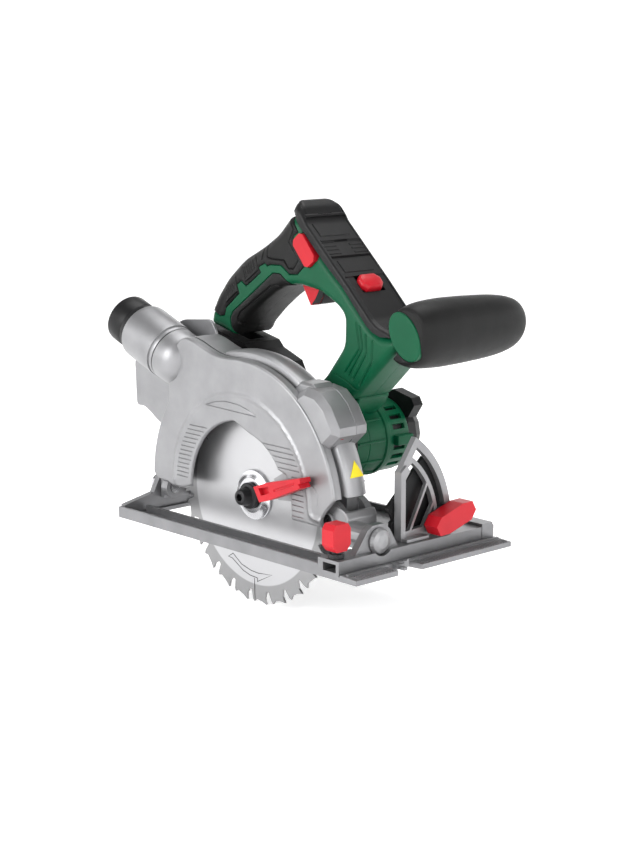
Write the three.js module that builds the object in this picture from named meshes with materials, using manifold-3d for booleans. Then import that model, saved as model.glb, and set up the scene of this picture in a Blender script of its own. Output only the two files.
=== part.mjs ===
// Compact cordless circular saw, 150 mm blade on the right, motor on the left.
// Millimetres. +X forward, +Y to the left (motor side), +Z up.
// Saw coordinates: x = 0 at the spindle, y = 0 in the blade's plane, z = 0 at the
// underside of the sole. The whole saw is then shifted back by CUT_LINE_X, so the
// origin is on the sole, under the front crossbar, on the line of cut.
import * as THREE from 'three';
import { mergeVertices } from 'three/addons/utils/BufferGeometryUtils.js';
import Module from 'manifold-3d';

const wasm = await Module();
wasm.setup();

// ---------------------------------------------------------------- dimensions
const GAP = 0.3;                       // clearance between pieces that touch
const BLADE_R = 75;
const CUT_DEPTH = 48;
const TEETH = 24;
const FIRST_TOOTH = 218;               // degrees round from the front
const AXIS_Z = BLADE_R - CUT_DEPTH;    // spindle height over the sole
const MOTOR = [27, 61];                // motor axis, x and z
const DEPTH_PIVOT = [80, 25];          // depth hinge, x and z
const BEVEL_PIVOT = [-2, 18];          // bevel hinge, y and z
const CUT_LINE_X = 113;                // the origin's x in saw coordinates

const BASE = { rear: -100, front: 138, right: -40, left: 100, plate: 2.6, wall: 7.5, cross: 12 };
const GUARD = { face: -15, split: -8, back: 14, coverR: 92.5, bodyR: 97.5, wall: 2.2, window: 51 };
const LOWER = { r: 82, wall: 1.8, right: -10.2, left: 8.4 };
const GEAR_TEETH = 50;
const PINION_TEETH = 10;
const CENTRES = Math.hypot(MOTOR[0], MOTOR[1] - AXIS_Z);
const TOOTH_MODULE = 2 * CENTRES / (GEAR_TEETH + PINION_TEETH);
const HANDLE = { right: 28, left: 66, mid: 47 };
// Side outline of the handle: nose, back of the grip, foot, finger loop, front arm.
const HANDLE_OUTLINE = [[11, 209], [3, 211], [-10, 198], [-25, 188.5], [-46, 178], [-63, 164], [-75, 149.5],
  [-80, 139], [-81.5, 131], [-56, 125], [-52, 131.5], [-40, 142.5], [-28, 151.5], [-17, 158.5], [-8, 163],
  [8, 166], [30, 163], [47, 155], [53.5, 149], [53, 130], [35, 107.5], [26.5, 101.5], [61, 94.5], [84, 116.5],
  [103, 134.5], [99, 140], [88, 139], [78, 143.4], [53.5, 168.4], [28, 189.8]];
const HANDLE_RIM = 4;                  // chamfer along the handle's two sides
const PAD = 2;                         // thickness of the rubber let into the grip
const AUX = [110.5, 142];              // front handle axis, x and z
const PORT = { from: [-57, 104], y: -4, tilt: 20.6, r: 19 };
const ARC_R = 135;                     // depth arc slot, radius about the depth hinge
const BOLT_ANGLE = 5;                  // where both clamp bolts stand in their slots, degrees

// ------------------------------------------------------------------- helpers
const rad = THREE.MathUtils.degToRad;
const polar = (r, angle, cx = 0, cz = AXIS_Z) => [cx + r * Math.cos(rad(angle)), cz + r * Math.sin(rad(angle))];

// Turns a closed three.js geometry into a solid.
function solid(geometry) {
  const g = geometry.index ? geometry : geometry.clone();
  g.deleteAttribute('normal');
  g.deleteAttribute('uv');
  const merged = mergeVertices(g, 1e-4);
  return new wasm.Manifold(new wasm.Mesh({
    numProp: 3,
    vertProperties: new Float32Array(merged.attributes.position.array),
    triVerts: new Uint32Array(merged.index.array),
  }));
}

const union = (...list) => list.reduce((a, b) => a.add(b));
const cut = (body, ...tools) => tools.reduce((a, b) => a.subtract(b), body);

function outline(points) {
  return new THREE.Shape(points.map(([u, v]) => new THREE.Vector2(u, v)));
}

// Plates: an outline drawn in one plane and given a thickness along the third axis.
function plate(axis, points, from, to) {
  const g = new THREE.ExtrudeGeometry(outline(points), { depth: to - from, bevelEnabled: false });
  if (axis === 'y') {
    g.rotateX(Math.PI / 2);
    g.translate(0, to, 0);
  } else if (axis === 'x') {
    g.rotateX(Math.PI / 2).rotateZ(Math.PI / 2);
    g.translate(from, 0, 0);
  } else {
    g.translate(0, 0, from);
  }
  return solid(g);
}
const plateY = (points, y0, y1) => plate('y', points, y0, y1);
const plateZ = (points, z0, z1) => plate('z', points, z0, z1);
const plateX = (points, x0, x1) => plate('x', points, x0, x1);

function box(x0, x1, y0, y1, z0, z1) {
  const g = new THREE.BoxGeometry(x1 - x0, y1 - y0, z1 - z0);
  g.translate((x0 + x1) / 2, (y0 + y1) / 2, (z0 + z1) / 2);
  return solid(g);
}

// A turned piece: profile points are [distance along the axis, radius].
function turned(profile, steps = 32) {
  const points = profile.map(([a, r]) => new THREE.Vector2(r, a));
  return new THREE.LatheGeometry(points, steps);
}
// Turned about an axis along Y through (x, z); the profile's distance is y.
function turnedY(profile, [x, z], steps = 32) {
  const g = turned(profile, steps);
  g.translate(x, 0, z);
  return solid(g);
}
// Turned about an axis along X through (y, z); the profile's distance is x.
function turnedX(profile, [y, z], steps = 32) {
  const g = turned(profile, steps).rotateZ(-Math.PI / 2);
  g.translate(0, y, z);
  return solid(g);
}
function turnedZ(profile, [x, y], steps = 32) {
  const g = turned(profile, steps).rotateX(Math.PI / 2);
  g.translate(x, y, 0);
  return solid(g);
}
const rodProfile = (a, b, r) => [[a, 0], [a, r], [b, r], [b, 0]];
const tubeProfile = (a, b, inner, outer) => [[a, inner], [a, outer], [b, outer], [b, inner], [a, inner]];
const rodY = (r, y0, y1, at, steps) => turnedY(rodProfile(y0, y1, r), at, steps);
const tubeY = (inner, outer, y0, y1, at, steps) => turnedY(tubeProfile(y0, y1, inner, outer), at, steps);
const rodX = (r, x0, x1, at, steps) => turnedX(rodProfile(x0, x1, r), at, steps);
const rodZ = (r, z0, z1, at, steps) => turnedZ(rodProfile(z0, z1, r), at, steps);

// Part of a ring about [cu, cv], from angle a0 to a1 in degrees, as outline points.
function sector(inner, outer, a0, a1, centre, step = 6) {
  const count = Math.max(1, Math.ceil((a1 - a0) / step));
  const along = (r) => Array.from({ length: count + 1 }, (_, i) => polar(r, a0 + (a1 - a0) * i / count, ...centre));
  return inner > 0 ? [...along(outer), ...along(inner).reverse()] : [centre, ...along(outer)];
}
const SPINDLE = [0, AXIS_Z];

const signedArea = (points) => points.reduce((sum, [u, v], i) => {
  const [un, vn] = points[(i + 1) % points.length];
  return sum + u * vn - v * un;
}, 0);

// An outline moved outwards by a distance (inwards when negative), corners kept sharp.
function grown(points, distance) {
  const next = (i) => points[(i + 1) % points.length];
  const side = Math.sign(signedArea(points));
  const normal = ([a, b], [c, d]) => {
    const length = Math.hypot(c - a, d - b) * side;
    return [(d - b) / length, (a - c) / length];
  };
  return points.map((point, i) => {
    const [n1, n2] = [normal(points.at(i - 1), point), normal(point, next(i))];
    const scale = distance / (1 + n1[0] * n2[0] + n1[1] * n2[1]);
    return [point[0] + (n1[0] + n2[0]) * scale, point[1] + (n1[1] + n2[1]) * scale];
  });
}

// A plate along Y whose two rims are rounded off over a given width.
function chamferedY(points, y0, y1, rim) {
  const base = signedArea(points) > 0 ? points : [...points].reverse();
  const steps = [[0, 1], [0.3, 0.3], [1, 0]];
  const rings = [...steps.map(([t, inset]) => [y0 + t * rim, -inset * rim]),
    ...steps.reverse().map(([t, inset]) => [y1 - t * rim, -inset * rim])];
  const position = rings.flatMap(([y, inset]) => grown(base, inset).flatMap(([u, v]) => [u, y, v]));
  const n = base.length;
  const last = (rings.length - 1) * n;
  const index = THREE.ShapeUtils.triangulateShape(base.map(([u, v]) => new THREE.Vector2(u, v)), [])
    .flatMap(([a, b, c]) => [a, b, c, last + a, last + c, last + b]);
  for (let ring = 0; ring < rings.length - 1; ring++) {
    for (let i = 0; i < n; i++) {
      const [a, b] = [ring * n + i, ring * n + (i + 1) % n];
      index.push(a, a + n, b + n, a, b + n, b);
    }
  }
  const g = new THREE.BufferGeometry();
  g.setAttribute('position', new THREE.Float32BufferAttribute(position, 3));
  g.setIndex(index);
  return solid(g);
}

// Rounded rectangle of half sizes a, b about [u, v], turned by an angle.
function lozenge(u, v, a, b, corner, angle = 0) {
  const points = [[a, b - corner], [a - corner, b], [-a + corner, b], [-a, b - corner],
    [-a, -b + corner], [-a + corner, -b], [a - corner, -b], [a, -b + corner]];
  const c = Math.cos(rad(angle));
  const s = Math.sin(rad(angle));
  return points.map(([p, q]) => [u + p * c - q * s, v + p * s + q * c]);
}

const LOOKS = {
  green: { color: 0x0d5536, roughness: 0.45, metalness: 0 },
  rubber: { color: 0x262626, roughness: 0.85, metalness: 0 },
  black: { color: 0x303030, roughness: 0.6, metalness: 0 },
  red: { color: 0xb8232d, roughness: 0.45, metalness: 0 },
  cast: { color: 0xb9b9b9, roughness: 0.45, metalness: 0.8 },
  sole: { color: 0x9c9c9c, roughness: 0.5, metalness: 0.8 },
  steel: { color: 0xb0b0b0, roughness: 0.3, metalness: 1 },
  dark_steel: { color: 0x3a3a3a, roughness: 0.4, metalness: 1 },
  copper: { color: 0xb06a3a, roughness: 0.4, metalness: 1 },
  lens: { color: 0xc03030, roughness: 0.1, metalness: 0 },
  board: { color: 0x1c5c3a, roughness: 0.6, metalness: 0 },
};

const saw = new THREE.Group();
saw.position.x = -CUT_LINE_X;

function add(name, body, look) {
  const { vertProperties, triVerts } = body.getMesh();
  const g = new THREE.BufferGeometry();
  g.setAttribute('position', new THREE.BufferAttribute(vertProperties, 3));
  g.setIndex(new THREE.BufferAttribute(triVerts, 1));
  g.computeVertexNormals();
  const mesh = new THREE.Mesh(g, new THREE.MeshStandardMaterial(LOOKS[look]));
  mesh.name = name;
  saw.add(mesh);
}

// ---------------------------------------------------------------------- base
const CROSS = [104, 122.6];            // front crossbar, along x
const FENCE_SCREW = [114.2, -34];       // x and y
const FENCE_SLOT = { x: [108.5, 120], z: [4.6, 9.8] };

function basePlate() {
  const { rear, front, right, left, plate: t, wall, cross } = BASE;
  const floor = plateZ([[rear, right], [front, right], [front, left], [rear, left]], 0, t);
  const rightRail = union(
    box(rear, 121, right, right + 2.4, 0, wall),
    box(rear + 8, CROSS[0], -22.4, -20, 0, wall - 0.5),
  );
  const leftRails = union(
    box(rear, CROSS[0], left - 2.4, left, 0, wall),
    box(-92, CROSS[0], 46, 48.4, 0, wall - 0.5),
    ...[-44, 8, 60].map((x) => box(x, x + 2.4, 46, left, 0, wall - 1.5)),
  );
  const rearRail = box(rear, rear + 2.4, right, left, 0, wall);
  const crossbar = box(...CROSS, right, left, 0, cross);
  const fenceBlock = box(106, 123, 88.5, 98.5, 0, 14);
  const lip = union(
    plateY([[CROSS[1], 0], [front, 0], [front, 3.2], [CROSS[1] + 1, 4]], right, left),
    box(127.2, 129, right + 2, left - 2, 0, 5),
  );
  const frontEar = plateX([[-24, 10], [-19, 16], [-11.5, 26], [-7, 28.4], [3, 28.4], [8, 24], [15, 12], [15, 10]],
    113, 118.4);
  const rearEar = plateX([[-38, 0], [-38, 9], [-13, 14], [-6, 27], [3, 27], [9, 21], [16, 7], [16, 0]],
    rear + 0.4, rear + 5);
  const body = union(floor, rightRail, leftRails, rearRail, crossbar, fenceBlock, lip, frontEar, rearEar);

  const troughHoles = Array.from({ length: 6 }, (_, i) => rodZ(1.4, -1, t + 1, [-70.8 + 26.6 * i, -30], 8));
  const opening = box(-92, 98, -19.8, 45.6, -1, wall + 1);
  const channel = box(FENCE_SLOT.x[0], FENCE_SLOT.x[1], right - 1, left + 1, FENCE_SLOT.z[0], FENCE_SLOT.z[1]);
  const undercut = box(104.9, 109.1, 22, 86, 7, cross + 1);
  const notch = plateZ([[front + 1, -4], [front + 1, 17], [128, 15.5], [126, 13], [126, -2], [128, -4]], -1, 8);
  const studHole = rodZ(3.3, FENCE_SLOT.z[0], cross + 1, FENCE_SCREW, 16);
  const pinHoles = union(rodX(4.3, rear - 1, front, BEVEL_PIVOT, 16), rodX(9, 118.5, 126, BEVEL_PIVOT, 24));
  const pinRelief = box(96, 113, -12.4, 9, 9, cross + 1);
  const pointer = union(box(125, 129.4, 3, 10, 0.6, 3.4), box(129, 134, 5, 8, 0.6, 2.4));
  const plate = cut(body, ...troughHoles, opening, channel, undercut, notch, studHole, pinHoles,
    pinRelief);
  return union(plate, pointer);
}
add('base_plate', basePlate(), 'sole');

const fenceStud = union(
  rodZ(3, FENCE_SLOT.z[1] + 0.1, 16.4, FENCE_SCREW, 16),
  rodZ(5, BASE.cross + GAP, 15, FENCE_SCREW, 16),
);
const wing = plateX([[-4, 0], [4, 0], [7.4, 4], [7.4, 14], [5, 17.4], [-5, 17.4], [-7.4, 14], [-7.4, 4]], -5, 5);
add('fence_stud', fenceStud, 'dark_steel');
add('fence_knob', wing.translate([...FENCE_SCREW, 16.7]), 'red');

// Bevel quadrant: a cast sector with an arc slot, standing on the crossbar.
const QUADRANT = { x: [109.6, 113.6], r: 70.5, slot: [58.5, 65.5] };
function quadrant() {
  const [cy, cz] = BEVEL_PIVOT;
  const arc = sector(0, QUADRANT.r, -4.6, 58, BEVEL_PIVOT, 4).slice(1);
  const sheet = plateX([[21, 12.3], ...arc, [21, 57]], ...QUADRANT.x);
  const slot = plateX(sector(...QUADRANT.slot, -1, 54, BEVEL_PIVOT, 4), 100, 120);
  const window = plateX([[26, 18], ...sector(0, 55.5, 1, 52, BEVEL_PIVOT, 4).slice(1), [26, 57]], 100, 120);
  const bars = [[27, 12, 48, 52], [38, 12, 58, 44]].map(([y0, z0, y1, z1]) => plateX([[y0, z0], [y0 + 2, z0],
    [y1 + 2, z1], [y1, z1]], 111, QUADRANT.x[1]));
  const flange = plateX([[21, 12.3], [25, 12.3], [25, 52], [29, 57], [26, 61], [21, 57]],
    QUADRANT.x[0] - 0.6, QUADRANT.x[1] + 1.6);
  const foot = box(QUADRANT.x[0], QUADRANT.x[1] + 6, 22, 42, 12.3, 14.2);
  const disc = rodX(QUADRANT.r, 90, 130, [cy, cz], 48);
  const barsIn = union(...bars).intersect(rodX(56.5, 90, 130, [cy, cz], 48));
  return union(cut(sheet, slot, window), barsIn, flange.intersect(disc), foot);
}
add('bevel_quadrant', quadrant(), 'cast');
// Bevel hinge pins, front and rear.
const dome = [[118.7, 0], [118.7, 8.6], [119.6, 8.6], [121.4, 7.2], [122.6, 4.4], [123.1, 0]];
add('front_bevel_pin', union(turnedX(dome, BEVEL_PIVOT, 24), rodX(4, 96.4, 118.8, BEVEL_PIVOT, 20)), 'steel');
add('rear_bevel_pin', union(rodX(7, -103.2, BASE.rear + 0.1, BEVEL_PIVOT, 20),
  rodX(4, BASE.rear, -84, BEVEL_PIVOT, 20)), 'steel');

// ------------------------------------------------------------- bevel carriage
function bevelBracket() {
  const [px, pz] = DEPTH_PIVOT;
  const ear = [[72, 14], [94, 14], [94, 27], ...sector(0, 13.6, 8, 150, DEPTH_PIVOT, 12).slice(1), [68.6, 26]];
  const beam = union(box(84, 105.2, -7.3, 20, 13, 20.5), rodX(8.6, 92, 112.6, BEVEL_PIVOT, 24));
  const body = union(plateY(ear, -7.3, -3.4), plateY(ear, 12.6, 18), beam);
  return cut(body, rodY(3.2, -20, 30, [px, pz], 20), rodX(4.3, 80, 120, BEVEL_PIVOT, 20),
    box(60, 84, -3.4, 12.6, 0, 60));
}
add('bevel_bracket', bevelBracket(), 'cast');
add('depth_pivot_pin', cut(union(rodY(2.9, -8.4, 19.6, DEPTH_PIVOT, 20), rodY(4.6, -9.4, -7.6, DEPTH_PIVOT, 20)),
  rodY(1.8, -10, -8.4, DEPTH_PIVOT, 6)), 'dark_steel');

// Black wing plate behind the quadrant, which carries the bevel clamp bolt.
const BEVEL_BOLT = polar(62, BOLT_ANGLE, ...BEVEL_PIVOT);
function bevelPlate() {
  const wingPlate = plateX(sector(24, 67, -2.6, 42, BEVEL_PIVOT, 5), 105.6, 108.4);
  const tongue = plateX([[19, 14.4], [30, 14.4], [30, 30], [19, 24]], 105.6, 108.4);
  return cut(union(wingPlate, tongue), rodX(3.2, 100, 112, BEVEL_BOLT, 16), box(100, 112, 0, 80, 0, 14.3));
}
add('bevel_plate', bevelPlate(), 'black');
add('bevel_bolt', union(rodX(2.9, 103.4, 118.6, BEVEL_BOLT, 16), rodX(5.6, 101.8, 105.3, BEVEL_BOLT, 6),
  rodX(7.5, 113.9, 115.2, BEVEL_BOLT, 20)), 'dark_steel');
const bevelKnob = plateX([[-9, -6], [-17, -3], [-18, 4], [-12, 8], [9, 6], [17, 3], [18, -4], [12, -8]], 115.5, 127);
add('bevel_knob', cut(bevelKnob.rotate([22, 0, 0]).translate([0, ...BEVEL_BOLT]),
  rodX(3.2, 110, 118.9, BEVEL_BOLT, 16)), 'red');

// Rear bracket and the depth arc that stands on it.
const arcPoint = (r, angle) => [DEPTH_PIVOT[0] - r * Math.cos(rad(angle)), DEPTH_PIVOT[1] + r * Math.sin(rad(angle))];
function arcSector(inner, outer, a0, a1) {
  const count = Math.ceil((a1 - a0) / 4);
  const along = (r) => Array.from({ length: count + 1 }, (_, i) => arcPoint(r, a0 + (a1 - a0) * i / count));
  return [...along(inner), ...along(outer).reverse()];
}
add('rear_bracket', cut(union(
  plateX([[-7, 10], [15, 9], [19.4, 9], [19.4, 20], [6, 25.2], [-7, 25.2]], -94.6, -90.6),
  box(-90.8, -50, 15.8, 19.4, 9, 15.6),
  rodX(7.6, -90.8, -84.6, BEVEL_PIVOT, 20),
), rodX(4.3, -110, -80, BEVEL_PIVOT, 20)), 'cast');
add('depth_arc', cut(plateY(arcSector(ARC_R - 7, ARC_R + 7, -3.4, 44), 16.4, 19),
  plateY(arcSector(ARC_R - 3.2, ARC_R + 3.2, 2.6, 41.4), 10, 30),
  box(-100, 0, 10, 30, 0, 15.9), box(-60, 0, 10, 30, 119.4, 130)), 'steel');

// --------------------------------------------------------------- upper guard
const portDirection = [-Math.cos(rad(PORT.tilt)), Math.sin(rad(PORT.tilt))];
// A piece turned about the dust port's axis; the profile's distance runs outwards from PORT.from.
function portTurned(profile, steps = 24) {
  const g = turned(profile, steps);
  g.rotateZ(Math.PI / 2 - rad(PORT.tilt));
  g.rotateX(Math.PI / 2);
  g.translate(PORT.from[0], PORT.y, PORT.from[1]);
  return solid(g);
}
const domeProfile = (grow) => [[2 - grow, 0], [4.2 - grow, 8 + grow], [9, 13.4 + grow], [15, 17 + grow],
  [21, PORT.r + grow], [26 + grow, PORT.r + grow], [26 + grow, 0]];

const belowFace = (x0, x1, z) => box(x0, x1, -40, 40, -110, z);
function guardCover() {
  const { face, split, coverR, wall, window } = GUARD;
  const shell = [[face, 0], [face, coverR - 1.6], [face + 1.6, coverR], [split, coverR],
    [split, coverR - wall], [face + wall, coverR - wall], [face + wall, 0]];
  const body = union(turnedY(shell, SPINDLE, 52), tubeY(68, 70, face - 0.9, face + 0.4, SPINDLE, 40));
  const windowCut = union(rodY(window, -30, 0, SPINDLE, 40), box(-51, 44.5, -30, 0, -80, AXIS_Z));
  return cut(body, windowCut, belowFace(-100, 0, 25.9), belowFace(0, 100, 21), box(76, 100, -11, 0, 0, 32),
    portTurned(domeProfile(GAP)));
}
add('guard_cover', guardCover(), 'cast');

// The guard's left half. Flat web behind the dust port, and the block that joins it to the guard's back wall.
const CHUTE_WEB = [[-66, 52], [-104, 47], [-129, 58], [-133, 60.6], [-143, 66], [-152, 65], [-153.5, 99],
  [-112, 125], [-97, 133.5], [-66, 136.5], [-60, 128], [-64, 96]];
function guardBody() {
  const { split, back, bodyR, wall } = GUARD;
  const inner = bodyR - 4;
  const shell = [[split + GAP, inner], [split + GAP, bodyR - 3.5], [-4, bodyR - 0.8], [3, bodyR], [9, bodyR - 1.2],
    [back - 1.5, bodyR - 4], [back, bodyR - 7], [back, 24.2], [back - wall, 24.2], [back - wall, inner],
    [split + GAP, inner]];
  const ring = cut(turnedY(shell, SPINDLE, 52), cut(belowFace(-110, 0, 28), rodY(86, 11.6, 15, SPINDLE)),
    cut(belowFace(0, 110, 42), rodY(86, 11.6, 15, SPINDLE)));
  const backWall = tubeY(24.2, 86, back - wall, back, SPINDLE, 52);
  const boss = tubeY(17.3, 24.4, 9.2, 22, SPINDLE, 28);
  const web = union(plateY(CHUTE_WEB, 16.6, 18.8), box(-88, -67, back - 1, 16.8, 56, 84));
  const lug = cut(plateY([[75, 30], [76, 22], [84, 21], [86, 28], [92, 44], [92, 50], [76, 50]], 3, 12.2),
    rodY(3.2, 0, 20, DEPTH_PIVOT, 20));
  const wallBelow = union(belowFace(-110, -44, 28), box(60, 110, 12.3, 40, -110, 39.4),
    box(60, 110, 0, 12.3, -110, 24), box(-110, 110, 0, 40, -110, -19));
  const hingeRoom = union(rodY(14.4, -20, 2.7, DEPTH_PIVOT, 24), rodY(14.4, 12.3, 40, DEPTH_PIVOT, 24));
  const body = union(cut(union(ring, backWall), wallBelow, hingeRoom), boss, web, lug);
  return cut(body, portTurned(domeProfile(GAP)), rodY(3.4, 0, 40, arcPoint(ARC_R, BOLT_ANGLE), 12),
    rodY(3.2, 0, 20, DEPTH_PIVOT, 20));
}
add('guard_body', guardBody(), 'cast');

function dustElbow() {
  const outer = portTurned(domeProfile(0));
  const bore = portTurned([[6, 0], [9, 8], [13, 12], [17, 14.6], [22, 15.6], [40, 15.6], [40, 0]]);
  const chamber = rodY(91, -12.8, 11.4, SPINDLE, 52);
  return cut(outer, bore, chamber, box(-60, -20, -40, 40, 60, 80));
}
add('dust_elbow', dustElbow(), 'cast');
add('dust_collar', portTurned([[26.4, 17.6], [26.4, 19.2], [28, 19.8], [60, 19.8], [62, 19], [62, 17.6],
  [26.4, 17.6]]), 'cast');
add('dust_adapter', portTurned([[40, 14.4], [40, 17.3], [80, 17.3], [82, 16.5], [82, 14.4], [40, 14.4]]), 'rubber');

// ------------------------------------------------- spindle, blade and gearing
function bladeOutline() {
  const points = [];
  const pitch = 360 / TEETH;
  for (let i = 0; i < TEETH; i++) {
    const a = FIRST_TOOTH + i * pitch;
    points.push(polar(BLADE_R, a), polar(BLADE_R - 4.4, a - 0.6), polar(BLADE_R - 9, a + 1.2),
      polar(BLADE_R - 8.4, a + 3.2), polar(BLADE_R - 2.6, a + 4.4), polar(BLADE_R - 0.6, a + 5.4), polar(BLADE_R - 2.8, a + 7.4),
      polar(BLADE_R - 1.8, a + pitch - 3));
  }
  return points;
}
const slots = [28, 148, 268].map((a) => plateY([polar(58, a), polar(76, a + 1), polar(76, a + 1.8),
  polar(58, a + 0.9)], -3, 3));
add('saw_blade', cut(plateY(bladeOutline(), -0.8, 0.8), rodY(7.9, -3, 3, SPINDLE, 24), ...slots), 'steel');
add('inner_flange', tubeY(7.9, 17, 1.1, 5, SPINDLE, 32), 'steel');
add('outer_flange', turnedY([[-4.8, 4.3], [-4.8, 9.4], [-4.4, 12], [-2.4, 17], [-1.1, 17], [-1.1, 4.3],
  [-4.8, 4.3]], SPINDLE, 32), 'steel');
add('blade_bolt', cut(turnedY([[-15, 0], [-15, 4.6], [-14, 5.4], [-8.4, 6], [-7.6, 8.8], [-5.1, 8.8], [-5.1, 3.9],
  [14, 3.9], [14, 0]], SPINDLE, 28), rodY(2.6, -16, -10, SPINDLE, 6)), 'dark_steel');
add('spindle', cut(rodY(7.6, -0.9, 37, SPINDLE, 28), rodY(4.2, -2, 14.4, SPINDLE, 24)), 'steel');
add('spindle_bearing_front', tubeY(7.9, 17, 12, 21, SPINDLE, 28), 'steel');
add('spindle_bearing_rear', tubeY(7.9, 13, 33.4, 38.4, SPINDLE, 28), 'steel');

function gearOutline(teeth, centre, phase) {
  const pitchR = teeth * TOOTH_MODULE / 2;
  const step = 360 / teeth;
  const points = [];
  for (let i = 0; i < teeth; i++) {
    const a = phase + i * step;
    const tooth = (r, f) => polar(r, a + f * step, ...centre);
    points.push(tooth(pitchR - 1.35 * TOOTH_MODULE, -0.3), tooth(pitchR + 0.7 * TOOTH_MODULE, -0.11),
      tooth(pitchR + 0.7 * TOOTH_MODULE, 0.11), tooth(pitchR - 1.35 * TOOTH_MODULE, 0.3));
  }
  return points;
}
const MESH_ANGLE = THREE.MathUtils.radToDeg(Math.atan2(MOTOR[1] - AXIS_Z, MOTOR[0]));
add('driven_gear', cut(plateY(gearOutline(GEAR_TEETH, SPINDLE, MESH_ANGLE), 26.6, 32.6),
  rodY(7.9, 20, 40, SPINDLE, 28)), 'steel');
add('pinion', cut(plateY(gearOutline(PINION_TEETH, MOTOR, MESH_ANGLE + 180 + 180 / PINION_TEETH), 26, 33.2),
  rodY(3.3, 20, 40, MOTOR, 16)), 'steel');

// Motor: armature, fan, field can, brushes and bearings, all on the motor axis.
const armature = turnedY([[24, 0], [24, 3], [50, 3], [50, 13], [76, 13], [76, 3], [80, 3], [80, 8], [90, 8], [90, 3],
  [104, 3], [104, 0]], MOTOR, 16);
add('armature', armature, 'copper');
const vanes = Array.from({ length: 6 }, (_, i) => box(6, 18.6, 43, 48, -0.8, 0.8).rotate([0, 60 * i, 0])
  .translate([MOTOR[0], 0, MOTOR[1]]));
add('motor_fan', cut(union(rodY(19, 42, 43.6, MOTOR, 24), tubeY(3.3, 7, 42, 48, MOTOR, 20), ...vanes),
  rodY(3.3, 30, 60, MOTOR, 16)), 'black');
add('field_can', tubeY(14, 18.6, 49.4, 78, MOTOR, 24), 'dark_steel');
for (const [name, turn] of [['brush_1', -90], ['brush_2', 90]]) {
  add(name, box(8.6, 16.5, 82, 88, -3, 3).rotate([0, turn, 0]).translate([MOTOR[0], 0, MOTOR[1]]), 'copper');
}
add('motor_bearing_front', tubeY(3.3, 8, 36.2, 40.4, MOTOR, 24), 'steel');
add('motor_bearing_rear', tubeY(3.3, 8, 98, 103, MOTOR, 24), 'steel');

// Dock for the battery: a ceiling with an L-shaped rail along each side.
const DOCK = { x: [-112, -46], y: [31.5, 61.5], z: 99 };
function batteryDock() {
  const { x, y, z } = DOCK;
  return cut(box(...x, ...y, z - 6.2, z + 2.4), box(x[0] - 1, x[1] - 1.4, 34.6, 58.4, z - 3.8, z),
    box(x[0] - 1, x[1] - 1.4, 38.6, 54.4, z - 10, z));
}
// Gear housing: closes the gear chamber and carries the handle's foot. Its lower left edge
// is rounded about the bevel hinge, so that it clears the sole when the saw tilts.
const TILT_ROOM = 48.3;
function driveHousing() {
  const y0 = GUARD.back + GAP;
  const tiltRoom = cut(box(-60, 60, 30, 60, -40, 14), rodX(TILT_ROOM, -70, 70, BEVEL_PIVOT, 64));
  const outer = union(rodY(43, y0, 42, SPINDLE, 32), rodY(27, y0, 42, MOTOR, 32),
    plateY([[-30, 58], [27, 88], [45, 78], [42, 34], [0, 27]], y0, 42));
  const chamber = union(rodY(38.6, y0 - 1, 34, SPINDLE, 32), rodY(11, y0 - 1, 34, MOTOR, 24));
  const foot = plateY([[-86, 130], [-84, 106], [-52, 100], [-24, 84], [-2, 84], [4, 92], [-9, 96], [-16, 102],
    [-20, 109], [-39, 116], [-44, 121]], HANDLE.right, 60);
  const brace = plateY([[-40, 100], [-26, 60], [12, 84], [14, 94], [2, 98], [-5, 104], [-9, 112], [-20, 114]],
    20, 42);
  const hollow = plateY([[-76, 121], [-76, 109], [-50, 105], [-24, 90], [-14, 90], [-24, 106], [-42, 112]], 34, 56);
  const opening = plateY([[-66, 140], [-66, 112], [-50, 112], [-50, 140]], 38, 52);
  const dock = union(batteryDock(), box(-82, -50, 31.5, 58, 100, 108));
  const grip = plateY(HANDLE_OUTLINE, HANDLE.right - 1, HANDLE.left + 1);
  const bearingSeats = union(rodY(13.3, 30, 38.8, SPINDLE, 28), rodY(8.3, 30, 60, MOTOR, 24));
  return cut(union(outer, foot, brace, dock), tiltRoom, chamber, hollow, opening, grip, bearingSeats);
}
add('drive_housing', driveHousing(), 'black');

// -------------------------------------------------------------- motor housing
const MOTOR_R = 25.5;
function motorHousing() {
  const shell = tubeY(22.8, MOTOR_R, 42.4, 92, MOTOR, 32);
  const ridge = tubeY(24, MOTOR_R + 1.2, 70.5, 73.5, MOTOR, 32);
  const seats = [[50, 54], [72, 76]].map(([y0, y1]) => tubeY(18.9, 23, y0, y1, MOTOR, 24));
  const block = box(48, MOTOR[0] + MOTOR_R + 4.6, 77, 92, 57.4, 64.6);
  const foot = plateY([[16, 80], [52, 74], [62, 93], [32, 99], [24, 92]], HANDLE.right + 15, HANDLE.left + 6);
  const vents = [-32, -16, 16, 32, 48, 150, 165, 180, 195]
    .map((a) => plateY(sector(20, 32, a, a + 7, MOTOR, 7), 78, 89));
  return cut(union(shell, ridge, ...seats, block, cut(foot, rodY(24, 30, 110, MOTOR, 40))), ...vents);
}
add('motor_housing', motorHousing(), 'green');

function endCap() {
  const shell = turnedY([[92.4, 21.6], [92.4, 25], [100, 24.4], [107, 21], [109, 17], [109, 0], [106, 0], [106, 15],
    [103.4, 19.6], [99, 21.6], [92.4, 21.6]], MOTOR, 16);
  const pocket = tubeY(8.3, 11, 97.4, 107, MOTOR, 24);
  const hook = plateY([[26, 80], [50, 74], [56, 83], [53, 88], [36, 92], [28, 88]], 92.6, 101);
  return union(shell, pocket, cut(hook, rodY(23, 80, 110, MOTOR, 40)));
}
add('motor_end_cap', endCap(), 'black');

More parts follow.
